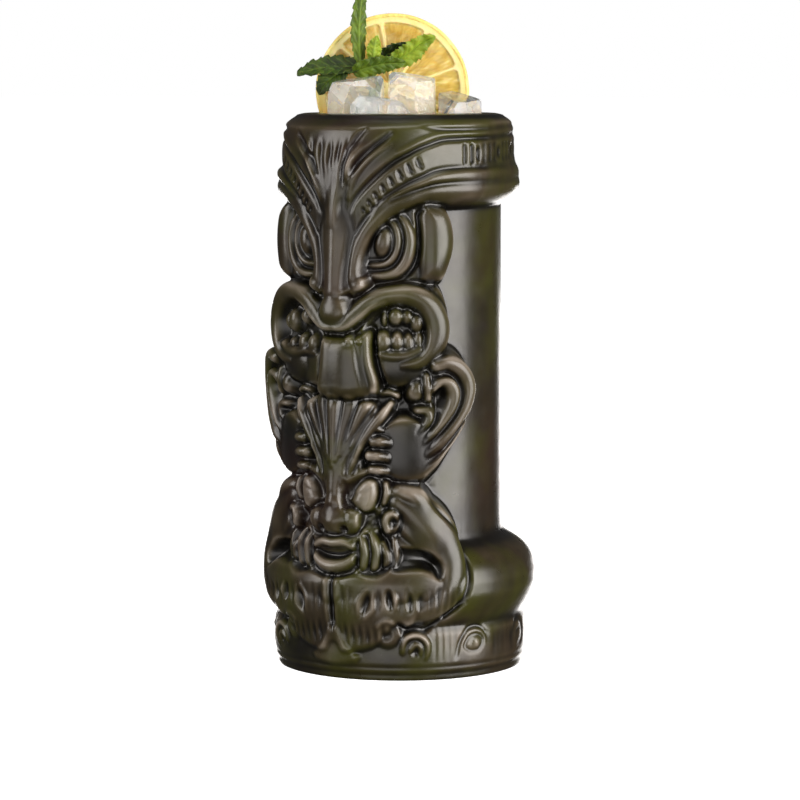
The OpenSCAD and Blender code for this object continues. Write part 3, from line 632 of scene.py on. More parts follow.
def carve_limbs(r):
    outline = [(25.6, 61.0), (34, 60.8), (40.4, 60.6), (41.4, 58.0), (44.6, 53.4), (49.6, 49.2),
               (54.8, 45.0), (57.8, 41.0), (59.4, 35.6), (59.0, 30), (57.3, 25.5), (53.4, 21.6), (49, 18.9),
               (43.5, 16.0), (37.5, 14.5), (32, 14.9), (28.6, 17.6), (20, 15), (-6, 14), (-6, 33), (18, 33),
               (24, 40), (20, 48), (25, 52)]

    def top(P, Z):
        return 38.6 + 2.4 * ease(Z, 50, 30)

    r.patch(outline, top, 3.6, 4.4, soft=0.3)
    # thigh and shin as one bent roll
    r.tube([(27, 57.2, 3.2, 39.6), (31, 57.2, 3.7, 40.6), (36.5, 55.2, 4.6, 41.0), (41.5, 50.6, 5.4, 41.0),
            (46.4, 45.8, 5.8, 41.6), (51.0, 40.4, 5.8, 42.6), (53.2, 34.4, 5.4, 43.7),
            (52.2, 28.6, 5.4, 44.2), (48.0, 24.2, 5.4, 44.2), (42, 21.6, 5.2, 43.8), (36, 20.4, 4.8, 43.2)],
           4.6, 0.4)
    r.tube([(30, 54.2, 4.4, 40.4), (36, 51.4, 6.2, 41.2), (42, 47.4, 7.4, 41.9), (48, 42.4, 7.4, 42.4),
            (52, 36, 6.0, 42.8)], 4.2, 0.7)
    r.tube([(30, 50, 3.6, 39.6), (34, 46.4, 4.6, 40.4), (40, 43.4, 5.0, 41.0), (46, 40.4, 5.0, 41.8)],
           3.0, 1.0)
    # hollow behind the shin
    w, d = r.inside([(28.4, 40.0), (32, 40.0), (38, 39.6), (43.6, 38.4), (47.2, 36.0), (48.4, 33.2),
                     (47.0, 30.4), (43.6, 31.4), (38, 32.9), (28.4, 32.8), (27.6, 36)], 2.0)
    t = np.clip(d / 3.2, 0, 1)
    r.R[w] = r.R[w] - (2.8 + 1.4 * ease(r.P[w], 32, 46)) * np.sqrt(1 - (1 - t) ** 2)
    r.tube([(27.4, 42.4, 1.0, 40.2), (28.0, 38.4, 1.5, 40.7), (27.8, 33.6, 1.0, 40.2)], 1.8, 0.8)
    # the leg that lies along the bottom
    leg = [(-6, 30.2), (6, 30.4), (12, 31.2), (18, 31.5), (21, 32.6), (27, 33.6), (34, 34.0), (41, 33.4),
           (46.0, 31.6), (46.6, 27.6), (43, 24.4), (40, 20), (36, 16.0), (32, 14.9), (28.6, 16.0), (24, 11),
           (16, 7.5), (4, 6), (0, 9), (-6, 6)]

    def leg_top(P, Z):
        return (41.5 + 2.3 * np.exp(-((Z - 22.5) / 9.5) ** 2) - 0.9 * np.exp(-(P / 4.0) ** 2)
                - 0.5 * np.exp(-((P - 30) / 5.0) ** 2))

    r.patch(leg, leg_top, 2.2, 2.6, soft=0.3)
    r.ridge([(28, 34.2, 0.7, 0.5), (34, 35.0, 0.7, 0.9), (41.3, 34.4, 0.7, 0.9), (46.2, 32.2, 0.7, 0.6)])
    r.groove([(5, 31.4, 0.8, 0.6), (12, 32.0, 0.8, 0.9), (19, 32.4, 0.8, 1.0), (26, 34.4, 0.8, 1.0)])
    # curled knob at the shoulder
    r.dome(26.6, 48.0, 3.9, 4.0, 40.4, 2.6, 0, 0.5)
    r.tube([(28.6, 50.0, 1.0, 41.0), (26.8, 51.0, 1.2, 41.4), (24.6, 50.2, 1.3, 41.6),
            (23.8, 48.0, 1.3, 41.6), (24.6, 45.8, 1.3, 41.2)], 2.0, 0.4)
    r.pit(27.2, 48.0, 1.5, 1.5, 1.2, 0, 0.8)
    r.groove([(30.4, 50.2, 1.0, 0.5), (30.4, 46.8, 1.0, 0.8), (28.6, 44.0, 1.0, 0.7)])
    # edge of the limb against the haunch and the column
    r.groove([(42.2, 58.6, 0.9, 0.8), (45.6, 53.4, 1.0, 1.1), (50.6, 49.4, 1.0, 1.2),
              (55.8, 45.4, 1.1, 1.4), (59.0, 41.0, 1.1, 1.5), (60.6, 35.6, 1.1, 1.5), (60.2, 30, 1.1, 1.5),
              (58.4, 25.0, 1.1, 1.4), (54.4, 21.0, 1.1, 1.3), (49.6, 18.0, 1.1, 1.2)])


def carve_foot(r):
    # cleft between the legs, and the little apron under it
    r.groove([(0, 31.0, 0.9, 1.6), (0, 24, 1.0, 2.0), (0, 17, 0.9, 1.5), (0, 13.4, 0.6, 0.4)])
    r.ridge([(3.0, 30.0, 0.6, 0.4), (2.6, 22, 0.6, 0.4), (2.4, 13, 0.6, 0.3)])
    w, d = r.inside([(-12, 5.2), (-6.6, 8.2), (-1.4, 15), (1.4, 15), (6.6, 8.2), (12, 5.2), (10, 3.4),
                     (0, 2.2), (-10, 3.4)], 1.5, soft=False)
    r.R[w] += 1.0 * np.clip((d + 0.6) / 1.4, 0, 1)
    # tufts of the leg
    rng = np.random.default_rng(7)
    for a in np.arange(5.5, 56, 3.1):
        low, high = 18.6 + 1.6 * rng.random(), 26.4 + 1.8 * rng.random()
        if 11 < a < 20 or 23 < a < 30:
            continue
        deep = 0.28 + 0.3 * rng.random()
        lean = 0.8 * (rng.random() - 0.5)
        r.groove([(a - lean, low, 0.5, 0.1), (a, (low + high) / 2, 1.15, deep), (a + lean, high, 0.5, 0.1)])
    for a in np.arange(6, 27, 3.3):
        low = 7.5 + 2.5 * rng.random()
        deep = 0.4 + 0.4 * rng.random()
        r.groove([(a, low, 0.5, 0.1), (a + 0.3, low + 3.4, 0.9, deep), (a, low + 7, 0.5, 0.1)])
    # leaf marks
    r.pit(15.4, 22.4, 3.2, 4.9, 0.35, -14, 0.6)
    r.ridge([(12.4, 19, 0.7, 0.3), (12.6, 23.6, 0.8, 0.6), (16.2, 27.2, 0.7, 0.4)])
    r.ridge([(15, 17.8, 0.7, 0.3), (18.6, 21.0, 0.8, 0.6), (18.4, 26.4, 0.7, 0.4)])
    r.pit(15.6, 22.4, 1.1, 3.4, 1.3, -16, 0.8)
    r.pit(25.6, 24.0, 1.1, 3.6, 1.4, 6, 0.8)
    r.ridge([(27.4, 27.0, 0.5, 0.3), (28.2, 24.2, 0.8, 0.8), (28.0, 21.2, 0.5, 0.3)])
    r.pit(34.3, 23.0, 0.8, 3.3, 1.1, 0, 0.8)
    r.pit(38.2, 23.2, 0.8, 3.0, 1.0, 0, 0.8)
    # toes and scrolls on the foot ring
    r.dome(24.4, 12.6, 4.4, 4.4, 41.6, 1.6, 0, 0.4)
    r.ridge([(20, 15.4, 0.7, 0.4), (24.4, 17.4, 0.7, 0.6), (28.8, 15.4, 0.7, 0.5), (30.2, 12, 0.7, 0.4)])
    r.pit(24.2, 12.4, 2.0, 2.0, 0.7)
    r.groove([(31.4, 15.6, 0.8, 0.6), (33, 13.9, 0.9, 1.1), (38, 13.3, 0.9, 1.2), (42.6, 14.6, 0.9, 1.1),
              (49, 18.0, 0.9, 1.1), (54, 20.6, 0.9, 0.9), (58.6, 22.8, 0.8, 0.5)])
    r.tube([(31.0, 7.2, 0.8, 41.3), (31.8, 10.6, 0.9, 41.8), (34.6, 12.2, 1.0, 42.0),
            (38.8, 12.1, 1.0, 42.0), (41.8, 10.0, 1.0, 42.0), (42.2, 7.2, 0.9, 41.6),
            (41.4, 5.0, 0.7, 41.0)], 1.3, 0.25)
    r.tube([(34.4, 7.6, 0.7, 41.2), (36.6, 9.6, 0.85, 41.6), (39.0, 8.6, 0.8, 41.5),
            (39.0, 6.4, 0.7, 41.1)], 1.1, 0.25)
    r.pit(37, 6.8, 1.6, 1.4, 0.7)
    # eye mark and strokes round the sides of the foot ring
    for c in (65.4, 128.0):
        r.groove([(c - 9.4, 4.8, 0.7, 0.3), (c - 7.6, 9.6, 0.8, 0.8), (c - 3.4, 13.2, 0.8, 0.9),
                  (c + 1.8, 13.9, 0.8, 0.9), (c + 6.2, 12.0, 0.8, 0.8), (c + 8.6, 8.4, 0.7, 0.5)])
        r.groove([(c - 5.6, 8.0, 0.6, 0.6), (c - 2.6, 10.9, 0.6, 0.8), (c + 1.8, 11.3, 0.6, 0.8),
                  (c + 4.8, 9.4, 0.6, 0.7), (c + 2.4, 6.6, 0.6, 0.6), (c - 2.4, 6.4, 0.6, 0.6),
                  (c - 5.6, 8.0, 0.6, 0.5)])
        r.dome(c + 0.6, 8.8, 1.2, 1.4, 41.2, 0.8, 0, 0.2)
        for k in range(5):
            a = c + 12.0 + 3.3 * k
            r.groove([(a, 13.4, 0.5, 0.3), (a + 0.5, 8.6, 0.85, 1.0), (a, 3.4, 0.5, 0.3)])
        c2 = c + 34
        r.groove([(c2 - 7, 4.2, 0.7, 0.3), (c2 - 6.2, 9.0, 0.8, 0.8), (c2 - 2.6, 12.8, 0.8, 0.9),
                  (c2 + 2.4, 12.6, 0.8, 0.9), (c2 + 5.4, 9.2, 0.8, 0.8), (c2 + 3.6, 5.6, 0.7, 0.6),
                  (c2, 5.4, 0.6, 0.4)])
        r.groove([(c2 - 3, 6.2, 0.6, 0.4), (c2 - 1.8, 9.4, 0.7, 0.7), (c2 + 1.6, 9.6, 0.6, 0.5)])
    for k in range(4):
        a = 45.8 + 3.1 * k
        r.groove([(a, 14.0 + k * 0.6, 0.6, 0.1), (a + 0.2, 9, 0.9, 0.22), (a, 4, 0.6, 0.1)])
    # a line just above the table
    r.groove([(-2, 1.9, 0.7, 0.35), (60, 1.9, 0.7, 0.35), (120, 1.9, 0.7, 0.35), (181, 1.9, 0.7, 0.35)])


# ---------------------------------------------------------------- turning the relief into a mesh
# loops below and above the relief: distance from the axis, height
UNDERSIDE = [(8, UNDER_Z), (20, UNDER_Z), (31, UNDER_Z), (33.2, UNDER_Z), (33.9, 1.4), (34.5, 0.4),
             (35.0, 0.0), (38.6, 0.0), (39.2, 0.1)]
INSIDE = [(LIP_R, RIM_Z), (28.6, 175.8), (27.95, 175.2), (27.6, 174.2), (BORE_R, 172.6), (BORE_R, 140),
          (BORE_R, 100), (BORE_R, 60), (BORE_R, 30), (BORE_R, 11), (27.1, 9.2), (26.2, 8.3), (24.6, FLOOR_Z),
          (14, FLOOR_Z), (6, FLOOR_Z)]
# share of the way from the relief's top edge to the lip, height
ROLLED_RIM = [(0.35, 175.72), (0.7, 175.94)]
# tone on the parts that aren't carved, on the carving's scale of glaze thickness and painted light
TONE_UNDER, TONE_RIM, TONE_INSIDE = 0.3, 0.62, 0.5


def blur(grid, times):
    """Soften a grid by a run of small averages, the ends held."""
    out = grid
    for _ in range(times):
        pad = np.pad(out, 1, mode="edge")
        out = (pad[:-2, 1:-1] + pad[2:, 1:-1] + pad[1:-1, :-2] + pad[1:-1, 2:] + 4 * pad[1:-1, 1:-1]) / 8
    return out


def carved_surface():
    """The mug's outside: the angles, the heights, and the distance from the axis at each of both."""
    step_front, step_back, step_z = ((0.42, 1.1, 0.36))
    phi = np.concatenate([np.arange(0, 72, step_front), np.arange(72, 179.99, step_back), [180.0]])
    z = np.linspace(0, RELIEF_TOP, int(RELIEF_TOP / step_z) + 1)
    drawn = np.arange(-3.0, 176.5, step_z)
    rim = np.where(z > RIM_START, curve(RIM)(z), 99)
    rounding = 1 - np.sqrt(np.clip(1 - ((FOOT_ROUND - z) / FOOT_ROUND) ** 2, 0, 1))
    foot = FOOT_R - FOOT_ROUND * rounding + 1.2 * z
    limit = np.minimum(foot, rim)[:, None]
    sides = []
    for left in (True, False):
        relief = Relief(phi, drawn)
        carve(relief, left)
        columns = [np.interp(level(angle, z), drawn, relief.R[:, j]) for j, angle in enumerate(phi)]
        sides.append(np.minimum(np.stack(columns, 1), limit))
    # from the back on the left, round the front, to the back on the right
    angles = np.concatenate([-phi[1:-1][::-1], phi])
    reach = np.concatenate([sides[0][:, 1:-1][:, ::-1], sides[1]], axis=1)
    return angles, z, blur(reach, 6)


def glaze_and_shade_tone(angles, z, reach):
    """Tone of the glaze: thin, with a painted highlight, on high edges; pooled, with painted shade, in the
    cuts; changed by the spots.
    """
    width = 30
    # high edges get lighter as thin glaze plus painted highlight, and cuts darker as pooled glaze plus
    # painted shade
    tone = np.clip(0.5 + (reach - blur(reach, width)) * 0.68, 0, 1)
    tone += np.clip((reach - blur(reach, width * 5)) * 0.12, -0.25, 0.16)
    for angle, height, wide, tall, much in GLAZE_AND_SHADE_SPOTS:
        across = (np.abs(angles) - angle) * ARC / wide
        up = (z - height) / tall
        tone += much * np.exp(-(across[None, :] ** 2 + up[:, None] ** 2))
    return np.clip(tone, 0, 1.3)


def build_mug(material):
    angles, z, reach = carved_surface()
    tone = glaze_and_shade_tone(angles, z, reach)
    count = len(angles)
    rings = [(radius, height, TONE_UNDER) for radius, height in UNDERSIDE]
    rings += list(zip(reach, z, tone))
    edge = reach[-1]
    rings += [(edge + (LIP_R - edge) * share, height, TONE_RIM) for share, height in ROLLED_RIM]
    rings += [(radius, height, TONE_INSIDE) for radius, height in INSIDE]
    turn = np.radians(angles)
    verts = [np.stack([radius * np.sin(turn), -radius * np.cos(turn), np.full(count, height)], 1)
             for radius, height, _ in rings]
    values = [np.broadcast_to(value, count) for _, _, value in rings]
    # the last two points are the middle of the underside and of the floor
    verts = np.concatenate(verts + [[[0, 0, UNDER_Z], [0, 0, FLOOR_Z]]]) * MM
    values = np.concatenate(values + [[TONE_UNDER, TONE_INSIDE]])
    index = np.arange(len(rings) * count).reshape(len(rings), count)
    after = np.roll(index, -1, axis=1)
    faces = np.stack([index[:-1], after[:-1], after[1:], index[1:]], -1).reshape(-1, 4).tolist()
    under, floor = len(verts) - 2, len(verts) - 1
    faces += [(under, b, a) for a, b in zip(index[0].tolist(), after[0].tolist())]
    faces += [(floor, a, b) for a, b in zip(index[-1].tolist(), after[-1].tolist())]
    obj = mesh_object("mug", verts.tolist(), faces, material)
    add_value(obj, "relief", values)
    return obj


# ---------------------------------------------------------------- materials
BLACK, WHITE = (0, 0, 0, 1), (1, 1, 1, 1)


class Nodes:
    """A short way to write a material's nodes."""

    def __init__(self, name):
        self.mat = bpy.data.materials.new(name)
        self.mat.use_nodes = True
        self.tree = self.mat.node_tree
        self.shader = self.tree.nodes["Principled BSDF"]

    def add(self, kind, inputs=None, **settings):
        node = self.tree.nodes.new("ShaderNode" + kind)
        for key, value in settings.items():
            setattr(node, key, value)
        for key, value in (inputs or {}).items():
            self.put(node.inputs[key], value)
        return node

    def put(self, socket, value):
        if isinstance(value, bpy.types.NodeSocket):
            self.tree.links.new(value, socket)
        else:
            socket.default_value = value

    def set(self, **inputs):
        for key, value in inputs.items():
            self.put(self.shader.inputs[key.replace("_", " ")], value)

    def point(self, scale=None, shift=None):
        """The place on the piece, stretched or moved if asked."""
        place = self.add("TexCoord").outputs["Object"]
        if scale:
            return self.add("Mapping", {"Vector": place, "Scale": scale}).outputs[0]
        if shift:
            return self.add("Mapping", {"Vector": place, "Location": shift}).outputs[0]
        return place

    def height(self):
        return self.add("SeparateXYZ", {"Vector": self.point()}).outputs["Z"]

    def noise(self, scale, detail=3.0, rough=0.55, where=None, warp=0.0):
        return self.add("TexNoise", {"Vector": where or self.point(), "Scale": scale, "Detail": detail,
                                     "Roughness": rough, "Distortion": warp}).outputs["Fac"]

    def ramp(self, fac, stops, smooth=False):
        node = self.add("ValToRGB", {"Fac": fac})
        band = node.color_ramp
        band.interpolation = "B_SPLINE" if smooth else "LINEAR"
        while len(band.elements) < len(stops):
            band.elements.new(0.5)
        for element, (place, colour) in zip(band.elements, stops):
            element.position = place
            element.color = colour
        return node.outputs["Color"]

    def mix(self, fac, a, b, how="MIX"):
        node = self.add("Mix", data_type="RGBA", blend_type=how)
        self.put(node.inputs[0], fac)
        self.put(node.inputs[6], a)
        self.put(node.inputs[7], b)
        return node.outputs[2]

    def math(self, how, a, b=0.0, clamp=False):
        node = self.add("Math", operation=how, use_clamp=clamp)
        self.put(node.inputs[0], a)
        self.put(node.inputs[1], b)
        return node.outputs[0]

    def span(self, value, low, high, out_low=0.0, out_high=1.0):
        return self.add("MapRange", {"Value": value, "From Min": low, "From Max": high, "To Min": out_low,
                                     "To Max": out_high}).outputs[0]

    def bump(self, height, strength, distance):
        self.put(self.shader.inputs["Normal"], self.add(
            "Bump", {"Height": height, "Strength": strength, "Distance": distance}).outputs[0])

    def attribute(self, name):
        return self.add("Attribute", attribute_name=name).outputs["Fac"]


def rgb(r, g, b):
    """A colour as seen on a screen, 0 to 255, turned into linear light."""
    parts = [v / 255 for v in (r, g, b)]
    return tuple(v / 12.92 if v <= 0.04 else ((v + 0.055) / 1.055) ** 2.4 for v in parts) + (1,)


def glaze_material():
    """Dark olive-brown glaze, thin and browner with a painted highlight on high edges, pooled nearly black
    with painted shade in the cuts.
    """
    n = Nodes("glaze")
    relief = n.attribute("relief")
    patches = n.noise(38, 4, 0.6, warp=0.6)
    streaks = n.noise(1.0, 3, 0.6, where=n.point((140, 140, 26)))
    tone = n.math("ADD", relief, n.math("MULTIPLY", n.math("SUBTRACT", patches, 0.5), 0.36))
    tone = n.math("ADD", tone, n.math("MULTIPLY", n.math("SUBTRACT", streaks, 0.5), 0.20))
    # the darkest stops paint shade in the cuts and the lightest, pale mauve-grey, paints a highlight on high
    # edges
    base = n.ramp(n.math("MULTIPLY", tone, 0.86),
                  [(0.12, rgb(6, 4, 2)), (0.30, rgb(16, 12, 6)), (0.42, rgb(31, 25, 13)),
                   (0.56, rgb(51, 42, 26)), (0.74, rgb(80, 70, 53)), (0.95, rgb(156, 145, 132))], True)
    # greener and redder patches
    green = n.ramp(n.noise(20, 3, 0.6, warp=0.8), [(0.46, BLACK), (0.62, WHITE)])
    green = n.math("MULTIPLY", green, n.span(tone, 0.25, 0.6, 0.1, 0.75))
    base = n.mix(green, base, rgb(56, 58, 8))
    red = n.ramp(n.noise(26, 2, 0.5, where=n.point(shift=(3, 1, 2))), [(0.52, BLACK), (0.70, WHITE)])
    base = n.mix(n.math("MULTIPLY", red, 0.4), base, rgb(46, 24, 20))
    n.set(Base_Color=base, IOR=1.5, Coat_Weight=0.25, Coat_Roughness=0.22)
    n.set(Roughness=n.span(n.noise(160, 3, 0.6), 0.3, 0.7, 0.27, 0.39))
    waves = n.math("MULTIPLY", n.noise(95, 2, 0.5), 0.8)
    pits = n.math("MULTIPLY", n.noise(900, 2, 0.5), 0.10)
    n.bump(n.math("ADD", waves, pits), 0.16, 0.0012)
    return n.mat


def ice_material(name, cloud):
    """Clear ice with cloudy veins, a slightly uneven melted surface and a faint painted white glow."""
    n = Nodes(name)
    mist = n.ramp(n.noise(85, 4, 0.6, warp=1.6), [(0.36, BLACK), (0.70, WHITE)], True)
    # each struck face has its own share of frost: some nearly white, some clear and grey
    frost = n.attribute("frost")
    veins = n.math("MULTIPLY", mist, cloud)
    white = n.math("ADD", veins, n.span(frost, 0.50, 0.74, 0.02, 0.26), True)
    tint = n.mix(n.span(frost, 0.48, 0.30), rgb(250, 252, 254), rgb(196, 198, 190))
    # the faint white emission is a painted glow that brightens the ice, which gives no light of its own
    n.set(Base_Color=tint, IOR=1.31, Roughness=n.span(n.noise(220, 3, 0.6), 0.35, 0.7, 0.01, 0.08),
          Transmission_Weight=n.math("SUBTRACT", 1.0, white), Emission_Color=WHITE, Emission_Strength=0.03)
    n.bump(n.noise(170, 3, 0.6), 0.35, 0.0012)
    return n.mat


def peel_material():
    """Pored yellow peel, with painted shade making it deeper orange low down."""
    n = Nodes("lemon_peel")
    cells = n.add("TexVoronoi", {"Vector": n.point(), "Scale": 900.0}).outputs["Distance"]
    tone = n.noise(120, 4, 0.6)
    pale = n.ramp(tone, [(0.3, rgb(232, 200, 100)), (0.55, rgb(246, 222, 128)), (0.75, rgb(252, 234, 160))])
    # painted shade: the peel turns deeper orange towards the bottom
    low = n.span(n.height(), 0.180, 0.170)
    shaded_orange = n.ramp(tone, [(0.3, rgb(226, 150, 24)), (0.7, rgb(246, 186, 52))])
    n.set(Base_Color=n.mix(low, pale, shaded_orange),
          Roughness=n.span(tone, 0.3, 0.7, 0.32, 0.46), Subsurface_Weight=0.15, Subsurface_Scale=0.002,
          Coat_Weight=0.15)
    n.bump(n.math("ADD", n.math("MULTIPLY", cells, 1.0), n.math("MULTIPLY", tone, 0.6)), 0.5, 0.0005)
    return n.mat


def pith_material():
    """Pale pith, yellower beside the peel, with painted shade making it deeper orange low down."""
    n = Nodes("lemon_pith")
    tone = n.noise(200, 5, 0.65)
    edge = n.attribute("outer")
    pale = n.ramp(tone, [(0.3, rgb(242, 220, 140)), (0.7, rgb(250, 236, 176))])
    # painted shade: the pith turns deeper orange towards the bottom
    low = n.span(n.height(), 0.184, 0.173, 0.0, 0.8)
    pale = n.mix(edge, pale, rgb(244, 220, 132))
    n.set(Base_Color=n.mix(low, pale, rgb(242, 176, 50)), Roughness=0.55, Subsurface_Weight=0.3,
          Subsurface_Scale=0.003)
    n.bump(n.noise(700, 3, 0.6), 0.35, 0.0004)
    return n.mat


def flesh_material():
    """Wet juice sacs: long cells that run out from the wheel's middle, clearer between them."""
    n = Nodes("lemon_flesh")
    run = n.attribute("sac")
    tone = n.noise(150, 4, 0.6)
    base = n.ramp(run, [(0.0, rgb(244, 226, 150)), (0.35, rgb(224, 190, 92)), (1.0, rgb(192, 150, 52))])
    base = n.mix(n.math("MULTIPLY", n.span(tone, 0.35, 0.65), 0.4), base, rgb(234, 210, 126))
    n.set(Base_Color=base, Roughness=0.16, IOR=1.36, Transmission_Weight=0.12, Subsurface_Weight=0.35,
          Subsurface_Scale=0.004, Coat_Weight=0.5, Coat_Roughness=0.06)
    n.bump(n.noise(420, 3, 0.6), 0.3, 0.0005)
    return n.mat


def leaf_material(name, dark, mid, light):
    """Mint leaf: paler midrib and veins, darker between them, a soft shine."""
    n = Nodes(name)
    vein = n.attribute("vein")
    tone = n.noise(170, 4, 0.6)
    blade = n.ramp(tone, [(0.28, dark), (0.5, mid), (0.74, light)], True)
    n.set(Base_Color=n.mix(n.math("MULTIPLY", vein, 0.4), blade, rgb(138, 168, 62)),
          Roughness=n.span(tone, 0.3, 0.7, 0.46, 0.62), Subsurface_Weight=0.12, Subsurface_Scale=0.001,
          Specular_IOR_Level=0.35)
    n.bump(n.noise(650, 3, 0.6), 0.3, 0.0004)
    return n.mat


def stem_material():
    """Green stalk with fibres along it, browner in places."""
    n = Nodes("mint_stem")
    fibres = n.noise(1.0, 3, 0.5, where=n.point((900, 900, 60)))
    tint = n.ramp(fibres, [(0.3, rgb(96, 110, 34)), (0.55, rgb(128, 140, 50)), (0.8, rgb(118, 80, 52))])
    n.set(Base_Color=tint, Roughness=0.45, Subsurface_Weight=0.1, Subsurface_Scale=0.001)
    n.bump(fibres, 0.4, 0.0004)
    return n.mat


# ---------------------------------------------------------------- ice
def in_garnish(x, y, z):
    """A point given in the garnish's own axes, in millimetres, as a place in the model."""
    c, s = math.cos(GARNISH_TURN), math.sin(GARNISH_TURN)
    return Vector((x * c - y * s, x * s + y * c, z)) * MM


def node_mesh(node):
    bm = bmesh.new()
    bm.from_mesh(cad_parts[node].data)
    bmesh.ops.remove_doubles(bm, verts=bm.verts, dist=0.02 * MM)
    return bm


def melt_edges(bm, width):
    bmesh.ops.remove_doubles(bm, verts=bm.verts, dist=0.04 * MM)
    bmesh.ops.dissolve_limit(bm, angle_limit=math.radians(4), verts=bm.verts[:], edges=bm.edges[:])
    bmesh.ops.bevel(bm, geom=bm.edges[:], offset=width * MM, segments=3, profile=0.6, affect="EDGES",
                    clamp_overlap=True)


def finish_bmesh(bm, name, material, smooth):
    bmesh.ops.triangulate(bm, faces=[f for f in bm.faces if len(f.verts) > 4])
    mesh = bpy.data.meshes.new(name)
    bm.to_mesh(mesh)
    bm.free()
    return link_mesh(name, mesh, material, smooth)


def struck_lump(node, name, material, seed, cuts):
    """A lump of ice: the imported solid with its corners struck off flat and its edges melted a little."""
    rng = np.random.default_rng(seed)
    bm = node_mesh(node)
    low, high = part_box(node)
    middle = (low + high) / 2
    for k in range(cuts):
        turn = 2 * math.pi * (k + 0.8 * rng.random()) / cuts
        rise = -0.3 + 1.7 * rng.random()
        normal = Vector((math.cos(turn), math.sin(turn), rise)).normalized()
        reach = max((v.co - middle).dot(normal) for v in bm.verts)
        depth = reach * (0.82 + 0.13 * rng.random() + 0.05 * max(rise, 0))
        cut = bmesh.ops.bisect_plane(bm, geom=bm.verts[:] + bm.edges[:] + bm.faces[:],
                                     plane_co=middle + normal * depth, plane_no=normal, clear_outer=True)
        rim = [e for e in cut["geom_cut"] if isinstance(e, bmesh.types.BMEdge)]
        if rim:
            bmesh.ops.contextual_create(bm, geom=rim)
    melt_edges(bm, 0.35)
    # a struck lump is hollow nowhere, so its skin is the tightest one round its corners
    skin = bmesh.ops.convex_hull(bm, input=bm.verts[:])
    loose = {v for v in skin["geom_interior"] + skin["geom_unused"] if isinstance(v, bmesh.types.BMVert)}
    bmesh.ops.delete(bm, geom=list(loose), context="VERTS")
    inner = [f for f in bm.faces if f not in skin["geom"]]
    bmesh.ops.delete(bm, geom=inner, context="FACES_ONLY")
    bmesh.ops.recalc_face_normals(bm, faces=bm.faces[:])
    # the skin's faces come in another order each time, so they are put in a fixed one
    bm.verts.index_update()
    for place, face in enumerate(sorted(bm.faces, key=lambda f: sorted(v.index for v in f.verts))):
        face.index = place
    bm.faces.sort()
    obj = finish_bmesh(bm, name, material, False)
    # each flat face has its own share of frost
    frost = obj.data.attributes.new("frost", "FLOAT", "FACE")
    frost.data.foreach_set("value", [0.5 + 0.6 * noise.noise(f.normal * 2.3 + Vector((seed, 2 * seed, 0)))
                                     for f in obj.data.polygons])
    return obj


def packed_ice(node, name, material, seed):
    """The crushed ice below the rim: rounded edges and an uneven, grainy surface."""
    bm = node_mesh(node)
    melt_edges(bm, 1.6)
    obj = finish_bmesh(bm, name, material, True)
    remesh = obj.modifiers.new("even", "REMESH")
    remesh.mode = "VOXEL"
    remesh.voxel_size = 0.65 * MM
    apply_modifiers(obj)
    mesh = obj.data
    places, normals = np.empty((2, len(mesh.vertices), 3))
    mesh.vertices.foreach_get("co", places.ravel())
    mesh.vertex_normals.foreach_get("vector", normals.ravel())
    lumps = [noise.noise(Vector(p) * 150 + Vector((seed, 0, 0))) * 0.38
             + noise.noise(Vector(p) * 520 + Vector((0, seed, 0))) * 0.08 for p in places]
    places -= normals * (np.abs(lumps) * 0.9)[:, None] * MM
    mesh.vertices.foreach_set("co", places.ravel())
    mesh.update()
    mesh.polygons.foreach_set("use_smooth", [True] * len(mesh.polygons))
    return obj


# ---------------------------------------------------------------- lemon
def wheel_point(radius, angle, depth):
    """A point of the lemon wheel: distance and angle on its face, and depth back from the face."""
    x, y, z = LEMON
    return in_garnish(x + radius * math.cos(angle), y + depth, z + radius * math.sin(angle))


def build_peel(material):
    """A ring with rounded corners, slightly uneven, swept round the wheel."""
    count, corner, steps = 200, 0.7, 6
    profile = []
    for radius, depth, start in [(LEMON_R - corner, LEMON_T - corner, 0),
                                 (LEMON_R - PEEL + corner, LEMON_T - corner, 90),
                                 (LEMON_R - PEEL + corner, corner, 180), (LEMON_R - corner, corner, 270)]:
        for s in range(steps + 1):
            t = math.radians(start + 90 * s / steps)
            profile.append((radius + corner * math.cos(t), depth + corner * math.sin(t)))
    verts, faces = [], []
    m = len(profile)
    for i in range(count):
        angle = 2 * math.pi * i / count
        for radius, depth in profile:
            wobble = 0.16 * noise.noise(Vector((math.cos(angle) * 3, math.sin(angle) * 3, depth * 0.3)))
            verts.append(wheel_point(radius + wobble, angle, depth))
        here, there = i * m, (i + 1) % count * m
        faces += [(here + k, here + (k + 1) % m, there + (k + 1) % m, there + k) for k in range(m)]
    return mesh_object("lemon_peel_rind", verts, faces, material)


def segment_shape(angle, radius):
    """How far inside a segment of flesh a place on the face is, in millimetres."""
    pitch = 2 * math.pi / SEGMENTS
    across = pitch / 2 - abs((angle + 0.35) % pitch - pitch / 2)
    corner = 1.5
    # how far from the wall beside it, from the pith and from the core
    inward = [radius * math.sin(across) - 0.20, (LEMON_R - 2.7) - radius, radius - 2.3]
    if min(inward) > corner:
        return min(inward)
    # rounded corners: a soft smallest of the three
    return corner - math.sqrt(sum(max(corner - v, 0) ** 2 for v in inward))


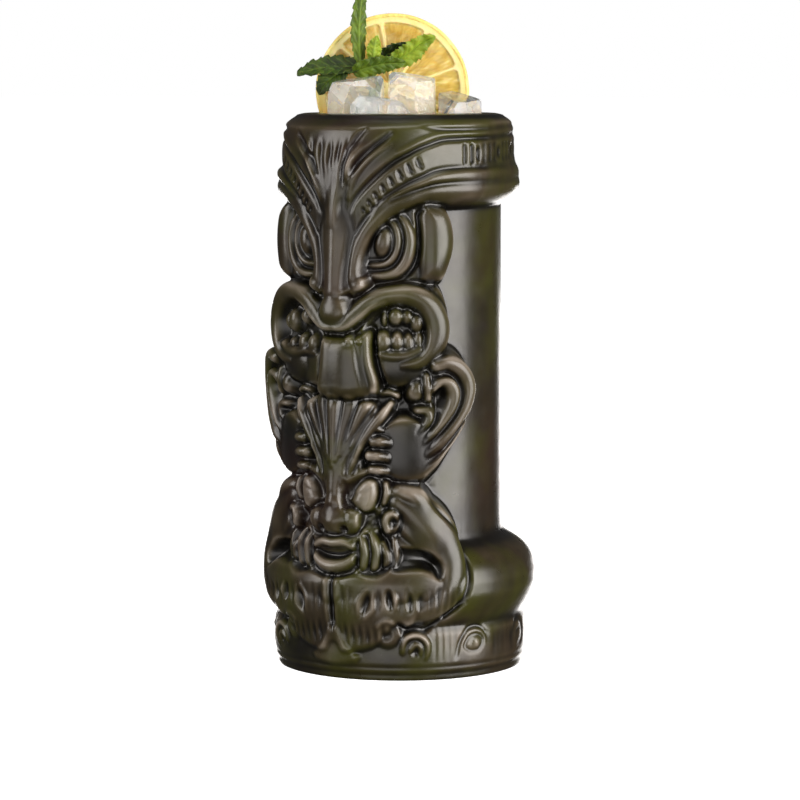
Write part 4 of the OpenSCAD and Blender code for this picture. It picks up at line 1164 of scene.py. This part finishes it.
def pulp_sheet(front, rings, spokes):
    """One cut face of the wheel: its points, and how far each is inside a segment."""
    points, inside = [], []
    for i in range(rings + 1):
        radius = (LEMON_R - 0.85) * i / rings
        for j in range(spokes):
            angle = 2 * math.pi * j / spokes
            depth_in = segment_shape(angle, radius)
            sac = noise.noise(Vector((angle * radius * 0.16 + 3, radius * 0.22, 1.0 if front else 5.0)))
            fine = noise.noise(Vector((angle * radius * 1.1, radius * 0.35, 3.0 if front else 8.0)))
            hollow = unit(depth_in / 0.7)
            hollow = hollow * hollow * (3 - 2 * hollow)
            swell = 0.28 * unit((depth_in - 0.5) / 3.0)
            sink = hollow * (0.62 - swell + 0.22 * sac + 0.16 * fine)
            wave = 0.10 * noise.noise(Vector((math.cos(angle) * radius, math.sin(angle) * radius, 2)) * 0.25)
            depth = (0.12 + sink + wave) if front else (LEMON_T - 0.12 - sink - wave)
            points.append(wheel_point(radius, angle, depth))
            inside.append(depth_in)
    return points, inside


def build_pith_and_flesh(pith, flesh):
    """The cut faces: pith and thin walls stand a little proud of the wet flesh between them."""
    rings, spokes = ((84, 468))
    front, depth_in = pulp_sheet(True, rings, spokes)
    back, _ = pulp_sheet(False, rings, spokes)
    count = len(front)
    faces, kinds = [], []
    for i in range(rings):
        for j in range(spokes):
            k = (j + 1) % spokes
            a, b, c, d = i * spokes + j, i * spokes + k, (i + 1) * spokes + k, (i + 1) * spokes + j
            if i == 0:
                faces += [(a, c, d), (a + count, d + count, c + count)]
            else:
                faces += [(a, b, c, d), (a + count, d + count, c + count, b + count)]
            kinds += [1 if (depth_in[a] + depth_in[c]) / 2 > 0.12 else 0] * 2
    for j in range(spokes):
        a, b = rings * spokes + j, rings * spokes + (j + 1) % spokes
        faces.append((a, b, b + count, a + count))
        kinds.append(0)
    obj = mesh_object("lemon_pulp", front + back, faces, pith)
    obj.data.materials.append(flesh)
    obj.data.polygons.foreach_set("material_index", kinds)
    bm = bmesh.new()
    bm.from_mesh(obj.data)
    bmesh.ops.remove_doubles(bm, verts=bm.verts, dist=0.001 * MM)
    bmesh.ops.recalc_face_normals(bm, faces=bm.faces[:])
    bm.to_mesh(obj.data)
    bm.free()
    centre = wheel_point(0, 0, LEMON_T / 2)
    right = (in_garnish(1, 0, 0) - in_garnish(0, 0, 0)).normalized()
    sac, outer = [], []
    for v in obj.data.vertices:
        away = v.co - centre
        across, up = away.dot(right) / MM, away.z / MM
        radius, angle = math.hypot(across, up), math.atan2(up, across)
        cell = noise.noise(Vector((angle * 9.5, radius * 0.20, 0))) + 0.5 * noise.noise(
            Vector((angle * 30, radius * 0.5, 4)))
        sac.append(unit(0.55 + 0.9 * cell) * unit(segment_shape(angle, radius) / 0.9))
        outer.append(unit((radius - (LEMON_R - 2.3)) / 1.2))
    add_value(obj, "sac", sac)
    add_value(obj, "outer", outer)
    return obj


# ---------------------------------------------------------------- mint
def through(points, count):
    """Evenly spaced places on a soft curve through some points."""
    p = soft_curve(np.array(points, float), lambda b, c: 24)
    run = np.concatenate([[0], np.cumsum(np.linalg.norm(np.diff(p, axis=0), axis=1))])
    want = np.linspace(0, run[-1], count)
    return np.stack([np.interp(want, run, p[:, k]) for k in range(p.shape[1])], 1)


def mint_leaf(name, spine, width, side, material, fold, teeth, curl, blunt, seed):
    """A toothed leaf along a spine of points: side is the way its blade spreads, fold how far it closes."""
    nu, nv = ((76, 30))
    mid = through(spine, nu + 1)
    along = np.gradient(mid, axis=0)
    along /= np.linalg.norm(along, axis=1)[:, None]
    spread = np.array(side, float)
    verts, veins = [], []
    for i in range(nu + 1):
        u = i / nu
        out = spread - along[i] * spread.dot(along[i])
        out /= np.linalg.norm(out)
        up = np.cross(along[i], out)
        shape = math.sin(math.pi * min(1, u ** 0.72)) ** blunt if 0 < u < 1 else 0.0
        half_width = width / 2 * max(shape, 0.04)
        # teeth along the edge, left out at the stalk and the tip
        half_width *= 1 - 0.20 * ((u * teeth) % 1.0) * (1 if 0.06 < u < 0.97 else 0)
        half_width *= 1 + 0.16 * noise.noise(Vector((u * 3.1, seed * 2.3, 0.5)))
        angle = fold * (1 + 0.5 * math.sin(3 * u + seed))
        for j in range(nv + 1):
            v = 2 * j / nv - 1
            across = v * half_width
            # the blade swells between its side veins and dips along the midrib
            rib = (u * teeth * 0.8 - abs(v) * 1.5) % 1.0
            lift = abs(across) * math.tan(angle) * (1 - 0.35 * abs(v)) + curl * v * v * half_width
            swell = math.sin(math.pi * rib) * (1 - abs(v) ** 3) * min(1, abs(v) * 4)
            lift += 0.26 * swell * min(1, half_width)
            lift -= 0.16 * math.exp(-(across / 0.28) ** 2)
            ripple = 0.34 * abs(v) * math.sin(math.pi * teeth * u + seed + v)
            verts.append(in_garnish(*(mid[i] + out * across * math.cos(angle * 0.7) + up * (lift + ripple))))
            line = math.exp(-(across / 0.22) ** 2) + 0.75 * math.exp(-((min(rib, 1 - rib)) / 0.07) ** 2)
            veins.append(min(1, line))
    row = nv + 1
    faces = [(a, a + 1, a + row + 1, a + row) for i in range(nu) for a in range(i * row, i * row + nv)]
    obj = mesh_object(name, verts, faces, material)
    add_value(obj, "vein", veins)
    wall = obj.modifiers.new("wall", "SOLIDIFY")
    wall.thickness = LEAF_THICKNESS * MM
    wall.offset = 0
    apply_modifiers(obj)
    obj.data.polygons.foreach_set("use_smooth", [True] * len(obj.data.polygons))
    return obj


def stalk(name, points, material):
    """A slightly square stalk with rounded ends. points give a place in the garnish's axes and a radius."""
    count, sides = 90, 16
    path = through(points, count)
    verts, faces = [], []
    for i in range(count):
        after, before = path[min(i + 1, count - 1), :3], path[max(i - 1, 0), :3]
        d = (after - before) / np.linalg.norm(after - before)
        u = np.cross(d, [0.3, 1.0, 0.1])
        u /= np.linalg.norm(u)
        v = np.cross(d, u)
        end = min(i, count - 1 - i)
        radius = path[i, 3] * math.sqrt(max(0.0004, 1 - (1 - min(end / 3, 1)) ** 2))
        for k in range(sides):
            t = 2 * math.pi * k / sides
            square = 1 + 0.10 * math.cos(4 * t)
            verts.append(in_garnish(*(path[i, :3] + (u * math.cos(t) + v * math.sin(t)) * radius * square)))
    for i in range(0, (count - 1) * sides, sides):
        faces += [(i + k, i + (k + 1) % sides, i + sides + (k + 1) % sides, i + sides + k)
                  for k in range(sides)]
    faces.append(tuple(range(sides))[::-1])
    faces.append(tuple((count - 1) * sides + k for k in range(sides)))
    return mesh_object(name, verts, faces, material)


# ---------------------------------------------------------------- the pieces
def make(piece, body, slot_name, *nodes):
    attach(piece, body)
    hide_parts(*nodes)
    return piece


make(build_mug(glaze_material()), "mug", "glaze", "mug_body")

# place of each lump, how many flat cuts it has had, and the seed of its cuts
LUMPS = [("left", 22, 11), ("front", 18, 16), ("middle", 22, 21), ("right", 20, 26), ("back_left", 16, 31),
         ("back_right", 16, 36)]
clear_ice = ice_material("clear_ice", 0.24)
for place, cuts, seed in LUMPS:
    node = "ice_cube_" + place
    make(struck_lump(node, "lump_" + place, clear_ice, seed, cuts), node, "ice", node)
make(packed_ice("ice_bed", "packed_ice", ice_material("packed_ice", 0.75), 3), "ice_bed", "ice", "ice_bed")

make(build_peel(peel_material()), "lemon_wheel", "lemon_peel", "lemon_peel")
make(build_pith_and_flesh(pith_material(), flesh_material()), "lemon_wheel", "lemon_flesh",
     "lemon_pith", "lemon_flesh")

GREEN_DARK, GREEN_MID, GREEN_LIGHT = rgb(16, 28, 3), rgb(38, 58, 6), rgb(72, 96, 14)
BRIGHT_DARK, BRIGHT_MID, BRIGHT_LIGHT = rgb(70, 94, 8), rgb(116, 140, 22), rgb(168, 184, 54)
deep = leaf_material("mint_deep", GREEN_DARK, GREEN_MID, GREEN_LIGHT)
fresh = leaf_material("mint_fresh", BRIGHT_DARK, BRIGHT_MID, BRIGHT_LIGHT)
middling = leaf_material("mint_middling", GREEN_MID, GREEN_LIGHT, BRIGHT_MID)
# name, points of the midrib, width, way the blade spreads, material, fold, teeth, curl, bluntness
LEAVES = [
    ("tall", [(-12.2, -3.2, 190.6), (-13.0, -3.5, 199), (-12.5, -3.2, 209), (-11.0, -2.9, 218.6)], 6.0,
     (1, 0.45, 0.05), middling, 0.5, 11, 0.0, 0.60),
    ("left", [(-11.4, -1.6, 190.4), (-18.5, -2.0, 190.6), (-26, -2.3, 189.8), (-32.6, -2.6, 188.0)], 10.6,
     (0.05, -0.78, -0.62), deep, 0.22, 10, 0.10, 0.5),
    ("droop", [(-17.0, -3.6, 189.4), (-21.0, -4.4, 187.4), (-23.8, -4.8, 184.8), (-25.6, -4.9, 181.8)], 8.2,
     (0.8, -0.25, -0.5), deep, 0.25, 8, 0.0, 0.6),
    ("curl", [(-8.4, -5.0, 192), (-8.2, -5.8, 195.4), (-7.8, -5.5, 198.2), (-7.3, -4.6, 200.2)], 5.2,
     (1, 0.1, 0.0), fresh, 0.32, 8, 0.1, 0.55),
    ("dark", [(-7.2, -0.8, 192.4), (-3.2, -1.0, 194.8), (0.2, -1.2, 196.6), (2.4, -1.3, 198.2)], 6.4,
     (-0.35, -0.35, 0.86), deep, 0.3, 7, 0.0, 0.6),
    ("right", [(-3.4, -4.0, 191.8), (2.2, -4.6, 194.4), (7.0, -4.9, 198.2), (11.2, -4.4, 200)], 8.0,
     (-0.55, -0.3, 0.78), fresh, 0.26, 10, 0.06, 0.62),
    ("low", [(-14.8, -4.0, 188.8), (-9.4, -5.0, 190.6), (-3.8, -5.2, 191.6), (1.9, -4.6, 191.8)], 7.4,
     (0.1, -0.42, 0.9), middling, 0.34, 11, 0.0, 0.55),
]
for name, *shape in LEAVES:
    leaf = mint_leaf("mint_" + name, *shape, seed=len(name))
    make(leaf, "mint_sprig", "mint_leaf", "mint_leaf_" + name)

# points of the stalk, each with its radius
STALK = [(-9.5, -2.2, 159.2, 1.25), (-9.6, -2.3, 172, 1.2), (-9.2, -2.2, 184, 1.15),
         (-9.5, -2.4, 190.6, 1.1), (-10.2, -2.8, 193.2, 1.0)]
make(stalk("mint_stalk", STALK, stem_material()), "mint_sprig", "mint_stem", "mint_stem")


# ---------------------------------------------------------------- floor, light and camera
FLOOR_HALF = 30  # metres
floor_mesh = bpy.data.meshes.new("floor")
corners = [(-FLOOR_HALF, -FLOOR_HALF, 0), (FLOOR_HALF, -FLOOR_HALF, 0), (FLOOR_HALF, FLOOR_HALF, 0),
           (-FLOOR_HALF, FLOOR_HALF, 0)]
floor_mesh.from_pydata(corners, [], [(0, 1, 2, 3)])
pale = Nodes("pale_floor")
pale.set(Base_Color=(0.8, 0.8, 0.8, 1), Roughness=0.7, Specular_IOR_Level=0.2, Emission_Color=WHITE,
         Emission_Strength=0.96)
# in reflections the floor is left out, so that the lamps alone shape the glaze
seen = pale.add("MixShader", {"Fac": pale.add("LightPath").outputs["Is Camera Ray"]})
pale.put(seen.inputs[1], pale.add("BsdfTransparent").outputs[0])
pale.put(seen.inputs[2], pale.shader.outputs[0])
pale.tree.links.new(seen.outputs[0], pale.tree.nodes["Material Output"].inputs["Surface"])
link_mesh("floor", floor_mesh, pale.mat, False)


def look_at(obj, place, target):
    obj.location = place
    obj.rotation_euler = (Vector(target) - obj.location).to_track_quat("-Z", "Y").to_euler()


def soft_box(name, azimuth, elevation, distance, width, height, power):
    """A rectangular lamp looking at the mug. Azimuth is counted as the mug's angles are."""
    lamp = bpy.data.lights.new(name, "AREA")
    lamp.shape = "RECTANGLE"
    lamp.size, lamp.size_y, lamp.energy = width, height, power
    lamp.color = (1.0, 0.965, 0.94)
    obj = bpy.data.objects.new(name, lamp)
    bpy.context.scene.collection.objects.link(obj)
    obj.visible_camera = False
    a, e = math.radians(azimuth), math.radians(elevation)
    target = Vector((0, 0, 0.1))
    toward = Vector((math.cos(e) * math.sin(a), -math.cos(e) * math.cos(a), math.sin(e)))
    look_at(obj, target + distance * toward, target)


# name, azimuth and elevation in degrees, distance, width and height in metres, watts
LAMPS = [("box_right", 84, 10, 1.3, 1.2, 1.2, 31), ("box_left", -34, 20, 1.5, 0.8, 1.2, 15),
         ("box_front", 16, -6, 1.6, 1.2, 0.8, 5.5), ("box_back", 206, -14, 1.6, 1.3, 0.6, 12),
         ("box_top", 20, 80, 1.4, 0.9, 0.9, 6)]
for row in LAMPS:
    soft_box(*row)

# the world is white behind the mug, nearly as white through the ice, and dim as a light
FILL, THROUGH_ICE = 0.06, 0.80
world = bpy.data.worlds.new("studio")
bpy.context.scene.world = world
world.use_nodes = True
links, nodes = world.node_tree.links, world.node_tree.nodes
path = nodes.new("ShaderNodeLightPath")
dim, white = nodes["Background"], nodes.new("ShaderNodeBackground")
for background, strength in ((dim, FILL), (white, 1.0)):
    background.inputs[0].default_value = WHITE
    background.inputs[1].default_value = strength
share = nodes.new("ShaderNodeMath")
share.operation = "MULTIPLY_ADD"
share.inputs[1].default_value = THROUGH_ICE
either = nodes.new("ShaderNodeMixShader")
links.new(path.outputs["Is Transmission Ray"], share.inputs[0])
links.new(path.outputs["Is Camera Ray"], share.inputs[2])
for slot, source in enumerate((share, dim, white)):
    links.new(source.outputs[0], either.inputs[slot])
links.new(either.outputs[0], nodes["World Output"].inputs[0])

bpy.context.scene.view_settings.view_transform = "Standard"
camera_data = bpy.data.cameras.new("camera")
camera_data.lens = 140.7
camera_data.sensor_width = 36
camera_data.clip_end = 100
camera = bpy.data.objects.new("camera", camera_data)
look_at(camera, (0.5, -0.866, 0.186), (0, 0, 0.084))
bpy.context.scene.collection.objects.link(camera)
bpy.context.scene.camera = camera

bpy.context.view_layer.update()
